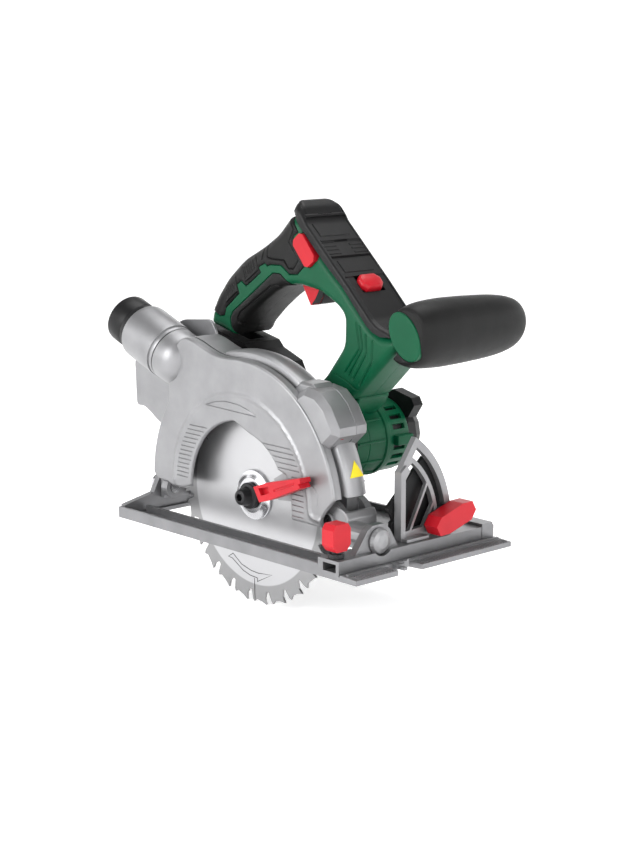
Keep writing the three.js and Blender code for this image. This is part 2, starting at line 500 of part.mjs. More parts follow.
// --------------------------------------------------------------------- handle
const CAVITY = [[4, 206], [-22, 184], [-42, 174], [-58, 160], [-68, 142], [-60, 136], [-46, 146], [-28, 157],
  [-10, 166], [6, 174], [36, 172], [56, 160], [66, 148], [64, 128], [52, 108], [60, 104], [90, 132], [84, 140],
  [54, 166], [30, 187]];
// Rubber let into the grip: outlines that run past the grip's edge, so each pad wraps round it.
const PADS = {
  grip_pad_front: [[-12, 171], [-4, 167], [2, 160], [8, 150], [-16, 132], [-52, 112], [-55, 125.6], [-58, 131],
    [-58, 139]],
  grip_pad_back: [[4, 216], [9, 200], [2, 193], [10, 185], [6, 177], [-3, 181], [-20, 181], [-27, 175],
    [-45, 169], [-53, 162], [-65, 142], [-74, 139], [-96, 136], [-86, 170], [-50, 200], [-20, 220]],
};
const handleBlock = (grow) => chamferedY(grown(HANDLE_OUTLINE, grow), HANDLE.right - grow, HANDLE.left + grow,
  HANDLE_RIM);
const skin = handleBlock(-PAD);
const TOP_COVER = [[1, 213.4], [9, 210.4], [13.4, 204.8], [28.4, 190.2], [53.9, 168.8], [78.4, 143.8],
  [88.4, 139.4], [99, 140.4], [93, 144], [82, 147.6], [57, 172], [40, 187.8], [17.5, 208.8], [13, 216.5],
  [8, 221.6], [2, 221.8], [-1.6, 218]];
const COVER_RIM = 1.7;
const TRIGGER = [[6, 173], [1, 168], [8, 156.4], [11, 151.6], [20, 153.6], [23, 158], [24, 173]];
const LOCK_BUTTON = { at: [19, 189.5], turn: -50 };
const LIGHT_BUTTON = { at: [59.4, 170.1], turn: -45 };

const AUX_OVAL = Array.from({ length: 24 }, (_, i) => {
  const t = rad(i * 15);
  const [major, minor, lean] = [17, 11.5, rad(127)];
  return [AUX[0] + major * Math.cos(t) * Math.cos(lean) - minor * Math.sin(t) * Math.sin(lean),
    AUX[1] + major * Math.cos(t) * Math.sin(lean) + minor * Math.sin(t) * Math.cos(lean)];
});
const auxPlate = (grow, y0, y1) => plateY(grown(AUX_OVAL, grow), y0, y1);

const coverHole = plateY(lozenge(...LIGHT_BUTTON.at, 6.8, 12, 2, LIGHT_BUTTON.turn), 37, 57);
function handleShell(y0, y1, inner0, inner1) {
  const recesses = Object.values(PADS).map((pad) => cut(plateY(pad, 20, 80), skin));
  const cavity = plateY(CAVITY, inner0, inner1);
  const triggerSlot = plateY([[-4, 140], [0, 174], [32, 174], [32, 140]], 39, 55);
  const lockHole = plateY(lozenge(...LOCK_BUTTON.at, 11.6, 6.6, 2.5, LOCK_BUTTON.turn), 20, 37.4);
  return cut(handleBlock(0), box(-120, 140, 0, y0, 0, 300), box(-120, 140, y1, 100, 0, 300), cavity, triggerSlot,
    lockHole, coverHole, ...recesses, plateY(grown(TOP_COVER, GAP), 0, 100), auxPlate(GAP, 0, 100));
}
add('handle_right', handleShell(0, HANDLE.mid - 0.15, 31.5, HANDLE.mid + 1), 'green');
add('handle_left', handleShell(HANDLE.mid + 0.15, 100, HANDLE.mid - 1, 62.5), 'green');
for (const [name, pad] of Object.entries(PADS)) {
  const prism = plateY(grown(pad, -0.2), 20, 80);
  const keep = union(handleBlock(-PAD + 0.2), plateY(grown(TOP_COVER, GAP), 0, 100));
  add(name, cut(handleBlock(0.4).intersect(prism), keep), 'rubber');
}

// Black cover along the top of the handle, from the nose down to the front arm.
const coverBody = chamferedY(TOP_COVER, HANDLE.right - 1, HANDLE.left + 1, COVER_RIM);
add('top_cover', cut(coverBody, coverHole, auxPlate(GAP, 0, 100)), 'black');

// Front handle: a green core through the arm's nose, a rubber grip round it.
add('aux_handle_core', cut(auxPlate(0, HANDLE.right - 1.4, 112), auxPlate(-3, HANDLE.right + 2, 120)), 'green');
const AUX_GRIP = { start: 27.4, end: 133, half: [20, 23] };
function auxGrip() {
  const profile = [[0, 0], [0, 0.74], [0.02, 0.82], [0.1, 0.94], [0.25, 1], [0.55, 0.97], [0.8, 0.86], [0.92, 0.7],
    [0.98, 0.42], [1, 0.2], [1, 0]];
  const length = AUX_GRIP.end - AUX_GRIP.start;
  const g = turned(profile.map(([t, r]) => [t * length, r]), 24);
  g.scale(AUX_GRIP.half[0], 1, AUX_GRIP.half[1]).rotateY(rad(30));
  g.translate(AUX[0], AUX_GRIP.start, AUX[1]);
  const arm = plateY([[40, 120], [60, 96], [104, 130], [104.4, 134.6], [99.6, 141.4], [60, 190]], 20, HANDLE.left + 1.3);
  return cut(solid(g), auxPlate(GAP, 20, 112.4), arm);
}
add('aux_handle_grip', auxGrip(), 'rubber');

// Trigger in the grip, its switch, the lock-off button and the light button.
add('trigger', plateY(TRIGGER, 39.4, 54.6), 'red');
add('trigger_switch', box(8, 28, 40, 54, 177.5, 187), 'black');
add('lock_button', plateY(lozenge(...LOCK_BUTTON.at, 11, 6, 2.5, LOCK_BUTTON.turn), 25.4, 34), 'red');
add('light_button', plateY(lozenge(...LIGHT_BUTTON.at, 6.4, 4.4, 1.6, LIGHT_BUTTON.turn), 37.4, 56.6), 'red');

// --------------------------------------------------------------- lower guard
// Drawn swung back out of the way; it closes anticlockwise seen from the right.
const LEVER_ROOT = polar(43, 18);
function lowerGuard() {
  const { r, wall, right, left } = LOWER;
  const rim = plateY(sector(r - wall, r, 35, 182, SPINDLE, 7), right, left);
  const inner = union(plateY(sector(22, r - 0.4, 35, 182, SPINDLE, 7), left - wall, left),
    tubeY(24.8, 27.4, left - wall, 11.2, SPINDLE, 36));
  const outer = plateY(sector(58, r - 0.4, 6, 182, SPINDLE, 8), right, right + 1.5);
  const arm = plateY(sector(34, 60, 6, 30, SPINDLE, 6), right, right + 1.5);
  return cut(union(rim, cut(inner, rodY(24.8, 0, 9, SPINDLE, 36)), outer, arm), rodY(1.6, -20, 0, LEVER_ROOT, 10));
}
add('lower_guard', lowerGuard(), 'cast');
const LEVER = [[28, 41], [34, 31.4], [43, 34.4], [74, 47.6], [73, 54], [41, 46]];
add('guard_lever', union(plateY(LEVER, -27, -17.6), rodY(4.4, -18, -10.5, LEVER_ROOT, 16),
  rodY(1.3, -11, -8.9, LEVER_ROOT, 10)), 'red');

// -------------------------------------------------------------- line-light box
const LIGHT_BOX = [[51, 96], [54, 104], [62, 108.5], [74, 106.5], [83.5, 99], [91.8, 86], [91.8, 80.5], [85, 74.5],
  [78, 69], [60, 84]];
const guardRoom = turnedY([[-40, 0], [-40, 92.9], [-7.9, 92.9], [-7.9, 94.3], [-3.8, 97.2], [3, 97.9], [9.2, 96.7],
  [13, 94], [14.6, 91], [14.6, 0]], SPINDLE, 52);
const lensBore = rodZ(4.2, 60, 85.3, [86, -6], 16);
const lightBox = chamferedY(LIGHT_BOX, -14, 16, 2);
add('light_housing', cut(lightBox, box(0, 140, 4.15, 40, 0, 200), guardRoom, lensBore), 'cast');
add('light_cover', cut(lightBox, box(0, 140, -40, 4.45, 0, 200), guardRoom), 'cast');
add('light_lens', rodZ(3.9, 78.4, 85, [86, -6], 16), 'lens');

// --------------------------------------------------------------- battery pack
const PACK = { x: [-118, -48], y: [31, 95], z: [48, 92] };
const packBody = chamferedY([[PACK.x[0], PACK.z[0]], [PACK.x[1], PACK.z[0]], [PACK.x[1], PACK.z[1]],
  [PACK.x[0], PACK.z[1]]], ...PACK.y, 4);
const packNeck = box(PACK.x[0] + 6, PACK.x[1] - 2, 39, 54, PACK.z[1] - 1, DOCK.z - 1);
const packRail = box(PACK.x[0] + 6, PACK.x[1] - 2, 35, 58, DOCK.z - 3.4, DOCK.z - 0.4);
const latchPocket = box(PACK.x[0] - 1, PACK.x[0] + 4, 49.6, 76.4, 59.4, 78.6);
add('battery_pack', cut(union(packBody, packNeck, packRail), latchPocket), 'black');
add('battery_latch', chamferedY([[-116.6, 60], [-122, 62], [-122, 75], [-116.6, 78]], 50, 76, 1.5), 'red');

// ------------------------------------------------------- depth clamp and lock
const DEPTH_BOLT = arcPoint(ARC_R, BOLT_ANGLE);
add('depth_bolt', union(rodY(2.9, 10.4, 25.8, DEPTH_BOLT, 16), rodY(5, 9.2, 11, DEPTH_BOLT, 6)), 'dark_steel');
const lever = lozenge(DEPTH_BOLT[0] - 14, DEPTH_BOLT[1] + 5, 21, 5, 3, -18);
add('depth_lever', cut(union(plateY(lever, 21, 26), rodY(7, 19.4, 26, DEPTH_BOLT, 20)),
  rodY(3.2, 0, 40, DEPTH_BOLT, 16)), 'red');

export default saw;
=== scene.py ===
"""Looks of a compact cordless circular saw, built round its CAD frame.

Shapes are drawn in saw coordinates, in millimetres: x forward from the spindle, y to the
left from the blade's plane, z up from the underside of the sole.
"""
import math

import bmesh
import bpy
import numpy as np
from mathutils import Matrix, Vector
from mathutils.geometry import delaunay_2d_cdt


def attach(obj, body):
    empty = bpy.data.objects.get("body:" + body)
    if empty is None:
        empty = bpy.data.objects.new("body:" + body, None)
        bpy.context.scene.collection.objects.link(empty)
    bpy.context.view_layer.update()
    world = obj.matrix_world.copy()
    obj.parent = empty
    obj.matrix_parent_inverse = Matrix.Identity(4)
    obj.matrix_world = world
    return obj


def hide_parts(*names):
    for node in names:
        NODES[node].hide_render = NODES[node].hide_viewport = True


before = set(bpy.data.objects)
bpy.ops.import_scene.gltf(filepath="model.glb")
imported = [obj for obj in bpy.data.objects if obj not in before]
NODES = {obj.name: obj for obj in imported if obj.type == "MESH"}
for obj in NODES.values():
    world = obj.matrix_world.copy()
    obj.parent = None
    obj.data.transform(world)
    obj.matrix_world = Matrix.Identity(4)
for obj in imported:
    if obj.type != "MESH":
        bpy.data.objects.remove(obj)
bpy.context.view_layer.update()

MM = 0.001
CUT_LINE_X = 113.0
AXIS = (0.0, 27.0)             # spindle axis, x and z
MOTOR = (27.0, 61.0)           # motor axis, x and z
AUX = (110.5, 142.0)           # front handle's axis, x and z
DEPTH_PIVOT = (80.0, 25.0)     # depth hinge's axis, x and z
BUTTON_AT = (59.4, 47.0, 170.1)
LOCK_AT = (19.0, 189.5)        # middle of the lock button, x and z
SMOOTH_ANGLE = math.radians(32)


def row(x, y, z):
    """A point in saw millimetres, in the row frame's metres."""
    return Vector(((x - CUT_LINE_X) * MM, y * MM, z * MM))


def polar(radius, degrees, centre=AXIS):
    a = math.radians(degrees)
    return (centre[0] + radius * math.cos(a), centre[1] + radius * math.sin(a))


def arc(radius, start, end, centre=AXIS, step=2.0):
    count = max(1, math.ceil(abs(end - start) / step))
    return [polar(radius, start + (end - start) * i / count, centre) for i in range(count + 1)]


def turned(points, centre, degrees):
    """Points about the origin, turned and moved to a centre."""
    turn = math.radians(degrees)
    return [(centre[0] + a * math.cos(turn) - b * math.sin(turn), centre[1] + a * math.sin(turn) + b * math.cos(turn))
            for a, b in points]


# ------------------------------------------------------------------ materials
def linear(colour):
    channels = [c / 255 for c in colour]
    return [c / 12.92 if c <= 0.04045 else ((c + 0.055) / 1.055) ** 2.4 for c in channels] + [1.0]


class Finish:
    """A procedural material: mottled colour, uneven roughness and a fine grain in the surface."""

    def __init__(self, name, colour, roughness, metallic=0.0):
        self.material = bpy.data.materials.new(name)
        self.material.use_nodes = True
        self.nodes = self.material.node_tree.nodes
        self.links = self.material.node_tree.links
        self.shader = self.nodes["Principled BSDF"]
        self.shader.inputs["Metallic"].default_value = metallic
        self.shader.inputs["Roughness"].default_value = roughness
        self.place = self.nodes.new("ShaderNodeTexCoord").outputs["Object"]
        self.colour = colour
        self.roughness = roughness
        self.material.diffuse_color = linear(colour)

    def noise(self, scale, detail=3.0, place=None):
        node = self.nodes.new("ShaderNodeTexNoise")
        node.inputs["Scale"].default_value = scale
        node.inputs["Detail"].default_value = detail
        self.links.new(place or self.place, node.inputs["Vector"])
        return node.outputs["Fac"]

    def mottle(self, amount, scale=60.0):
        """Colour that drifts a little lighter and darker over the piece."""
        ramp = self.nodes.new("ShaderNodeValToRGB")
        ramp.color_ramp.elements[0].position = 0.3
        ramp.color_ramp.elements[1].position = 0.7
        low = [max(0, c * (1 - amount)) for c in self.colour]
        high = [min(255, c * (1 + amount)) for c in self.colour]
        ramp.color_ramp.elements[0].color = linear(low)
        ramp.color_ramp.elements[1].color = linear(high)
        self.links.new(self.noise(scale), ramp.inputs["Fac"])
        self.links.new(ramp.outputs["Color"], self.shader.inputs["Base Color"])
        return ramp

    def uneven(self, amount, scale=150.0):
        spread = self.nodes.new("ShaderNodeMapRange")
        spread.inputs["To Min"].default_value = max(0.02, self.roughness - amount)
        spread.inputs["To Max"].default_value = min(1.0, self.roughness + amount)
        self.links.new(self.noise(scale), spread.inputs["Value"])
        self.links.new(spread.outputs["Result"], self.shader.inputs["Roughness"])

    def grain(self, size_mm, depth_mm, strength=0.4, place=None):
        bump = self.nodes.new("ShaderNodeBump")
        bump.inputs["Strength"].default_value = strength
        bump.inputs["Distance"].default_value = depth_mm * MM
        self.links.new(self.noise(1 / (size_mm * MM), 2.0, place), bump.inputs["Height"])
        self.links.new(bump.outputs["Normal"], self.shader.inputs["Normal"])


def plain_finish(name, colour, roughness, metallic=0.0, grain=0.5, depth=0.04, strength=0.4, shine=0.5):
    finish = Finish(name, colour, roughness, metallic)
    finish.shader.inputs["Specular IOR Level"].default_value = shine
    finish.mottle(0.035)
    finish.uneven(0.06)
    finish.grain(grain, depth, strength)
    return finish.material


def turned_steel(name, colour, dark, ring_from):
    """Steel ground in circles round the spindle, with a darker outer ring."""
    finish = Finish(name, colour, 0.36, 0.85)
    nodes, links = finish.nodes, finish.links
    shift = nodes.new("ShaderNodeVectorMath")
    shift.operation = "SUBTRACT"
    shift.inputs[1].default_value = row(AXIS[0], 0, AXIS[1])
    links.new(finish.place, shift.inputs[0])
    radius = nodes.new("ShaderNodeVectorMath")
    radius.operation = "LENGTH"
    links.new(shift.outputs["Vector"], radius.inputs[0])
    spread = nodes.new("ShaderNodeCombineXYZ")
    links.new(radius.outputs["Value"], spread.inputs["X"])
    finish.uneven(0.08, 90.0)
    finish.grain(0.35, 0.03, 0.5, spread.outputs["Vector"])
    ring = nodes.new("ShaderNodeMapRange")
    ring.inputs["From Min"].default_value = (ring_from - 0.4) * MM
    ring.inputs["From Max"].default_value = (ring_from + 0.4) * MM
    links.new(radius.outputs["Value"], ring.inputs["Value"])
    mix = nodes.new("ShaderNodeMix")
    mix.data_type = "RGBA"
    mix.inputs["A"].default_value = linear(colour)
    mix.inputs["B"].default_value = linear(dark)
    links.new(ring.outputs["Result"], mix.inputs["Factor"])
    links.new(mix.outputs["Result"], finish.shader.inputs["Base Color"])
    return finish.material


GREEN = plain_finish("green_plastic", (4, 78, 50), 0.4, grain=0.35, depth=0.03, shine=0.2)
RUBBER = plain_finish("soft_rubber", (20, 20, 20), 0.5, grain=0.3, depth=0.05, strength=0.55, shine=0.22)
BLACK = plain_finish("black_plastic", (20, 20, 21), 0.42, grain=0.4, depth=0.04, shine=0.25)
RED = plain_finish("red_plastic", (186, 22, 36), 0.38, grain=0.35, depth=0.03, shine=0.3)
CAST = plain_finish("grey_casting", (148, 148, 150), 0.40, 0.72, grain=0.45, depth=0.035, strength=0.35)
SOLE = plain_finish("sole_casting", (132, 132, 134), 0.38, 0.72, grain=0.5, depth=0.05, strength=0.4)
YELLOW = plain_finish("yellow_label", (236, 214, 40), 0.45, shine=0.3)
STEEL = plain_finish("bright_steel", (205, 205, 208), 0.24, 1.0, grain=0.8, depth=0.01)
DARK_STEEL = plain_finish("black_steel", (46, 46, 48), 0.36, 0.6, grain=0.6, depth=0.02)
COPPER = plain_finish("copper_parts", (180, 108, 62), 0.35, 1.0)
LENS = plain_finish("light_lens", (150, 24, 26), 0.12, grain=2.0, depth=0.005)
BLADE = turned_steel("blade_steel", (190, 190, 192), (150, 150, 151), 62.0)
MARK = plain_finish("blade_mark", (70, 70, 72), 0.5, 0.4)


# -------------------------------------------------------------- mesh building
def shade(obj):
    """Smooth faces, with the edges that turn sharply left crisp."""
    mesh = obj.data
    mesh.polygons.foreach_set("use_smooth", [True] * len(mesh.polygons))
    mesh.set_sharp_from_angle(angle=SMOOTH_ANGLE)


def piece(name, points, faces, material, body="saw", replaces=()):
    """A new piece from row-frame points, riding on a body."""
    mesh = bpy.data.meshes.new(name)
    mesh.from_pydata([tuple(p) for p in points], [], faces)
    work = bmesh.new()
    work.from_mesh(mesh)
    bmesh.ops.remove_doubles(work, verts=work.verts, dist=0.00001)
    bmesh.ops.recalc_face_normals(work, faces=work.faces)
    work.to_mesh(mesh)
    work.free()
    mesh.materials.append(material)
    obj = bpy.data.objects.new(name, mesh)
    bpy.context.scene.collection.objects.link(obj)
    shade(obj)
    if body:
        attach(obj, body)
    if replaces:
        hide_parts(*replaces)
    return obj


def carve(obj, cutters, operation="DIFFERENCE"):
    """Cuts other meshes out of obj for good, and drops them."""
    for cutter in cutters:
        modifier = obj.modifiers.new("cut", "BOOLEAN")
        modifier.operation = operation
        modifier.solver = "MANIFOLD"
        modifier.object = cutter
    graph = bpy.context.evaluated_depsgraph_get()
    result = bpy.data.meshes.new_from_object(obj.evaluated_get(graph))
    obj.modifiers.clear()
    obj.data = result
    for cutter in cutters:
        bpy.data.objects.remove(cutter)
    shade(obj)
    return obj


def bevelled(obj, width_mm, segments=3, angle=30):
    modifier = obj.modifiers.new("edges", "BEVEL")
    modifier.width = width_mm * MM
    modifier.segments = segments
    modifier.limit_method = "ANGLE"
    modifier.angle_limit = math.radians(angle)
    modifier.harden_normals = True
    return obj


def prism(name, outline, y0, y1, material=BLACK, body=None, replaces=(), axis="y"):
    """An outline drawn across one axis, given a thickness along it."""
    place = {"y": lambda u, v, d: row(u, d, v), "x": lambda u, v, d: row(d, u, v),
             "z": lambda u, v, d: row(u, v, d)}[axis]
    n = len(outline)
    points = [place(u, v, d) for d in (y0, y1) for u, v in outline]
    faces = [list(range(n)), list(range(2 * n - 1, n - 1, -1))]
    faces += [[i, (i + 1) % n, n + (i + 1) % n, n + i] for i in range(n)]
    return piece(name, points, faces, material, body, replaces)


def block(x0, x1, y0, y1, z0, z1):
    return prism("block", [(x0, z0), (x1, z0), (x1, z1), (x0, z1)], y0, y1)


def lathe(name, profile, centre, material=BLACK, body=None, replaces=(), steps=128, axis="y", stretch=None):
    """Profile points are (distance along the axis, radius). A radius of 0 closes an end."""
    points, faces = [], []
    for distance, radius in profile:
        for i in range(steps):
            a = 2 * math.pi * i / steps
            u, v = radius * math.cos(a), radius * math.sin(a)
            if stretch:
                u, v = stretch(u, v)
            if axis == "y":
                points.append(row(centre[0] + u, distance, centre[1] + v))
            elif axis == "x":
                points.append(row(distance, centre[0] + u, centre[1] + v))
            else:
                points.append(centre @ Vector((u, v, distance)))
    for k in range(len(profile) - 1):
        for i in range(steps):
            j = (i + 1) % steps
            faces.append([k * steps + i, k * steps + j, (k + 1) * steps + j, (k + 1) * steps + i])
    return piece(name, points, faces, material, body, replaces)


def rod(y0, y1, radius, centre):
    return lathe("rod", [(y0, 0), (y0, radius), (y1, radius), (y1, 0)], centre)


def distance_to(points, line, closed=False):
    """Distance from each of many 2-D points to a line of segments."""
    line = np.array(line, float)
    ends = np.roll(line, -1, axis=0) if closed else line[1:]
    starts = line if closed else line[:-1]
    best = np.full(len(points), 1e9)
    for a, b in zip(starts, ends):
        d = b - a
        t = np.clip((points - a) @ d / max(d @ d, 1e-12), 0, 1)
        best = np.minimum(best, np.hypot(*(points - a - t[:, None] * d).T))
    return best


def inside(points, outline):
    outline = np.array(outline, float)
    found = np.zeros(len(points), bool)
    for (x0, z0), (x1, z1) in zip(outline, np.roll(outline, -1, axis=0)):
        crosses = (z0 > points[:, 1]) != (z1 > points[:, 1])
        with np.errstate(divide="ignore", invalid="ignore"):
            at = x0 + (points[:, 1] - z0) / (z1 - z0) * (x1 - x0)
        found ^= crosses & (points[:, 0] < at)
    return found


def resampled(line, spacing, closed=False):
    line = [Vector(p) for p in line]
    pairs = zip(line, line[1:] + line[:1]) if closed else zip(line[:-1], line[1:])
    out = []
    for a, b in pairs:
        count = max(1, math.ceil((b - a).length / spacing))
        out += [tuple(a.lerp(b, i / count)) for i in range(count)]
    if not closed:
        out.append(tuple(line[-1]))
    return out


def rounded(line, radius, closed=True, steps=4):
    """The same line with its corners turned into short arcs."""
    pts = [Vector(p) for p in line]
    n = len(pts)
    out = []
    for i, p in enumerate(pts):
        if not closed and i in (0, n - 1):
            out.append(tuple(p))
            continue
        before, after = pts[i - 1] - p, pts[(i + 1) % n] - p
        r = min(radius, 0.45 * before.length, 0.45 * after.length)
        a, b = p + before.normalized() * r, p + after.normalized() * r
        for k in range(steps + 1):
            t = k / steps
            out.append(tuple((1 - t) ** 2 * a + 2 * t * (1 - t) * p + t * t * b))
    return out


def drop(distance, radius):
    """How far a rounded rim of that radius has fallen away, at a distance from the edge."""
    reach = np.clip(radius - distance, 0, radius)
    return radius - np.sqrt(np.maximum(radius ** 2 - reach ** 2, 0))


def offsets(line, width):
    """The line and its two sides, as polylines."""
    pts = [Vector(p) for p in line]
    result = [[], [], []]
    for i, p in enumerate(pts):
        along = (pts[min(i + 1, len(pts) - 1)] - pts[max(i - 1, 0)]).normalized()
        side = Vector((-along.y, along.x)) * width
        for k, where in enumerate((p, p + side, p - side)):
            result[k].append(tuple(where))
    return result


def grown(line, distance):
    pts = [Vector(p) for p in line]
    area = sum(a.x * b.y - a.y * b.x for a, b in zip(pts, pts[1:] + pts[:1]))
    turn = math.copysign(1, area)
    out = []
    for i, p in enumerate(pts):
        a, b = (p - pts[i - 1]).normalized(), (pts[(i + 1) % len(pts)] - p).normalized()
        n1, n2 = Vector((a.y, -a.x)) * turn, Vector((b.y, -b.x)) * turn
        out.append(tuple(p + (n1 + n2) * (distance / max(0.35, 1 + n1.dot(n2)))))
    return out


def relief(name, outline, height, back, material, body="saw", replaces=(), spacing=1.6,
           creases=(), edge_rows=(), keep=None):
    """A skin whose y is height(points) over an outline in x and z, walled back to a flat y.

    creases are open lines that the mesh follows; edge_rows are insets, in millimetres,
    at which it gets a row of points along its rim."""
    rim = resampled(outline, spacing, closed=True)
    verts = [Vector(p) for p in rim]
    edges = [(i, (i + 1) % len(rim)) for i in range(len(rim))]
    array = np.array(rim)
    for line in creases:
        pts = np.array(resampled(line, spacing))
        ok = inside(pts, rim) & (distance_to(pts, rim, True) > 0.12)
        for i in range(len(pts)):
            if ok[i]:
                verts.append(Vector(pts[i]))
                if i and ok[i - 1]:
                    edges.append((len(verts) - 2, len(verts) - 1))
    for inset in edge_rows:
        along = np.roll(array, -1, axis=0) - np.roll(array, 1, axis=0)
        along /= np.linalg.norm(along, axis=1)[:, None]
        for sign in (1, -1):
            pts = array + sign * inset * np.stack([-along[:, 1], along[:, 0]], 1)
            good = inside(pts, rim) & (distance_to(pts, rim, True) > 0.9 * inset)
            verts += [Vector(p) for p in pts[good]]
    low, high = array.min(0), array.max(0)
    grid = np.stack(np.meshgrid(np.arange(low[0], high[0], spacing), np.arange(low[1], high[1], spacing)), -1)
    grid = grid.reshape(-1, 2) + 0.25 * spacing * (np.arange(len(grid.reshape(-1, 2))) % 2)[:, None]
    far = inside(grid, rim) & (distance_to(grid, rim, True) > 0.6 * spacing)
    verts += [Vector(p) for p in grid[far]]
    flat, _, tris, *_ = delaunay_2d_cdt(verts, edges, [list(range(len(rim)))], 1, 1e-5)
    flat = np.array([tuple(v) for v in flat])
    if keep is not None:
        middle = np.array([flat[list(t)].mean(0) for t in tris])
        tris = [t for t, ok in zip(tris, keep(middle)) if ok]
    y = height(flat)
    points = [row(x, h, z) for (x, z), h in zip(flat, y)]
    directed = {(a, b): True for t in tris for a, b in zip(t, [*t[1:], t[0]])}
    faces = [list(t) for t in tris]
    base = len(points)
    points += [row(x, back, z) for x, z in flat]
    faces += [[base + i for i in reversed(t)] for t in tris]
    faces += [[b, a, base + a, base + b] for a, b in directed if (b, a) not in directed]
    return piece(name, points, faces, material, body, replaces)


# --------------------------------------------------------------------- handle
HANDLE = {"right": 28.0, "left": 66.0, "mid": 47.0}
HANDLE_OUTLINE = rounded([
    (11, 209), (3, 211), (-10, 198), (-25, 188.5), (-46, 178), (-63, 164), (-75, 149.5), (-80, 139),
    (-81.5, 131), (-56, 125), (-52, 131.5), (-40, 142.5), (-28, 151.5), (-17, 158.5), (-8, 163),
    (8, 166), (30, 163), (47, 155), (53.5, 149), (53, 130), (35, 107.5), (26.5, 101.5), (61, 94.5),
    (84, 116.5), (103, 134.5), (99, 140), (88, 139), (78, 143.4), (53.5, 168.4), (28, 189.8)], 5)
PAD_BACK = [(4, 216), (3.8, 210.8), (7.2, 205.4), (10.9, 200.7), (6.7, 198.4), (5.7, 194.3), (9.4, 189.5),
            (17.6, 181.6), (17.6, 179.6), (10.1, 173), (2.5, 172.3), (-5.8, 177.8), (-16.6, 177.5),
            (-19.8, 176.2), (-22.1, 178.1), (-26.8, 176.2), (-28.9, 174.4), (-26.8, 171.5), (-42, 160.9),
            (-46.8, 164.2), (-51.7, 161.1), (-49.3, 155.5), (-63.4, 144.2), (-65.1, 138.7), (-69.8, 137.7),
            (-76, 140.4), (-96, 136), (-86, 170), (-50, 200), (-20, 220)]
PAD_FRONT = [(-14.3, 171.6), (-7, 171.6), (-0.6, 167), (3, 163.8), (11, 163.6), (16, 150), (-16, 132), (-52, 112),
             (-55, 125.6), (-57.5, 131), (-58.6, 137.2), (-56, 141.7), (-35.7, 156.2)]
PAD_GROOVES = {
    "back": [[(6.4, 201.4), (2.2, 193.6), (11.6, 182.2), (6.3, 176.2), (2.1, 176.1), (-3.1, 181.3),
              (-15.1, 181.2), (-19.7, 182.3), (-19.3, 191.1)],
             [(3, 209), (7.4, 201.8)],
             [(-45.1, 173.7), (-42, 163.5), (-28.4, 172.9), (-31.5, 181)],
             [(-52.5, 166), (-50.1, 156.5), (-61.7, 148.1)],
             [(-22, 192), (-25, 180)]],
    "front": [[(-50, 133.6), (-51.6, 135.6), (-51.2, 138), (-47.9, 142.5), (-16.7, 163.1), (-12.1, 163.7),
               (-7.5, 160.9), (-3, 157)]],
}
PAD_RIBS = [[(-43.5 + 2.1 * i, 166 + 1.5 * i), (-45.5 + 2.1 * i, 171.5 + 1.5 * i)] for i in range(1, 7)] + \
    [[(-60 + 2.0 * i, 150.4 + 1.5 * i), (-62.5 + 2.0 * i, 156 + 1.5 * i)] for i in range(0, 5)]
ARM_GROOVES = [rounded(line, 3, closed=False) for line in [
    [(66.2, 146.6), (69.4, 130.2), (56.4, 113.7)],
    [(69.6, 144.0), (72.2, 130.3), (59.8, 112.1)],
    [(75.1, 138.7), (75.6, 127.3), (64.0, 110.0)],
    [(81.0, 135.4), (80.6, 122.5), (69.0, 106.6)]]]
ARM_SEAM = rounded([(46.3, 111.0), (57.9, 107.4), (67.9, 101.1)], 8, closed=False)
RIM_ROUND = 6.0
GRIP_ROWS = (0.4, 1.1, 2.2, 3.8, 6.0)
PAD_OUTLINE = grown(HANDLE_OUTLINE, 0.4)
PAD_PROUD = 0.4
PAD_BED = 1.6                  # how deep the shell is sunk under a pad


def groove(points, line, half, depth):
    """A V-shaped channel along a line."""
    return depth * np.clip(1 - distance_to(points, line) / half, 0, 1)


def handle_height(side):
    """y over the green shell: rounded rim, arm grooves, and a shadow line round each pad."""
    face = HANDLE["right"] if side > 0 else HANDLE["left"]

    def height(points):
        d = distance_to(points, HANDLE_OUTLINE, True)
        fall = drop(d, RIM_ROUND)
        for line in ARM_GROOVES:
            fall = fall + groove(points, line, 1.1, 1.1)
        fall = fall + groove(points, ARM_SEAM, 0.7, 0.6)
        for pad in (PAD_BACK, PAD_FRONT):
            near = np.where(inside(points, pad), 1.0, 1 - distance_to(points, pad, True) / 0.5)
            fall = fall + PAD_BED * np.clip(near, 0, 1)
        return face + side * np.minimum(fall, RIM_ROUND + PAD_BED)
    return height


def pad_height(side, outline, grooves, ribs):
    """y over a rubber pad: it stands a little proud, with a raised border and sunk lines."""
    face = (HANDLE["right"] - PAD_PROUD) if side > 0 else (HANDLE["left"] + PAD_PROUD)

    def height(points):
        edge = distance_to(points, outline, True)
        skin = distance_to(points, PAD_OUTLINE, True)
        fall = drop(skin, RIM_ROUND) + 0.7 * drop(np.minimum(edge, 1.4) / 1.4, 1.0)
        fall = fall + 0.3 * np.clip((edge - 3.2) / 0.8, 0, 1)
        for line in grooves:
            fall = fall + groove(points, line, 0.75, 0.8)
        for line in ribs:
            fall = fall - groove(points, line, 0.6, 0.45)
        return face + side * fall
    return height


def sides(lines, width):
    return [edge for line in lines for edge in offsets(line, width)]


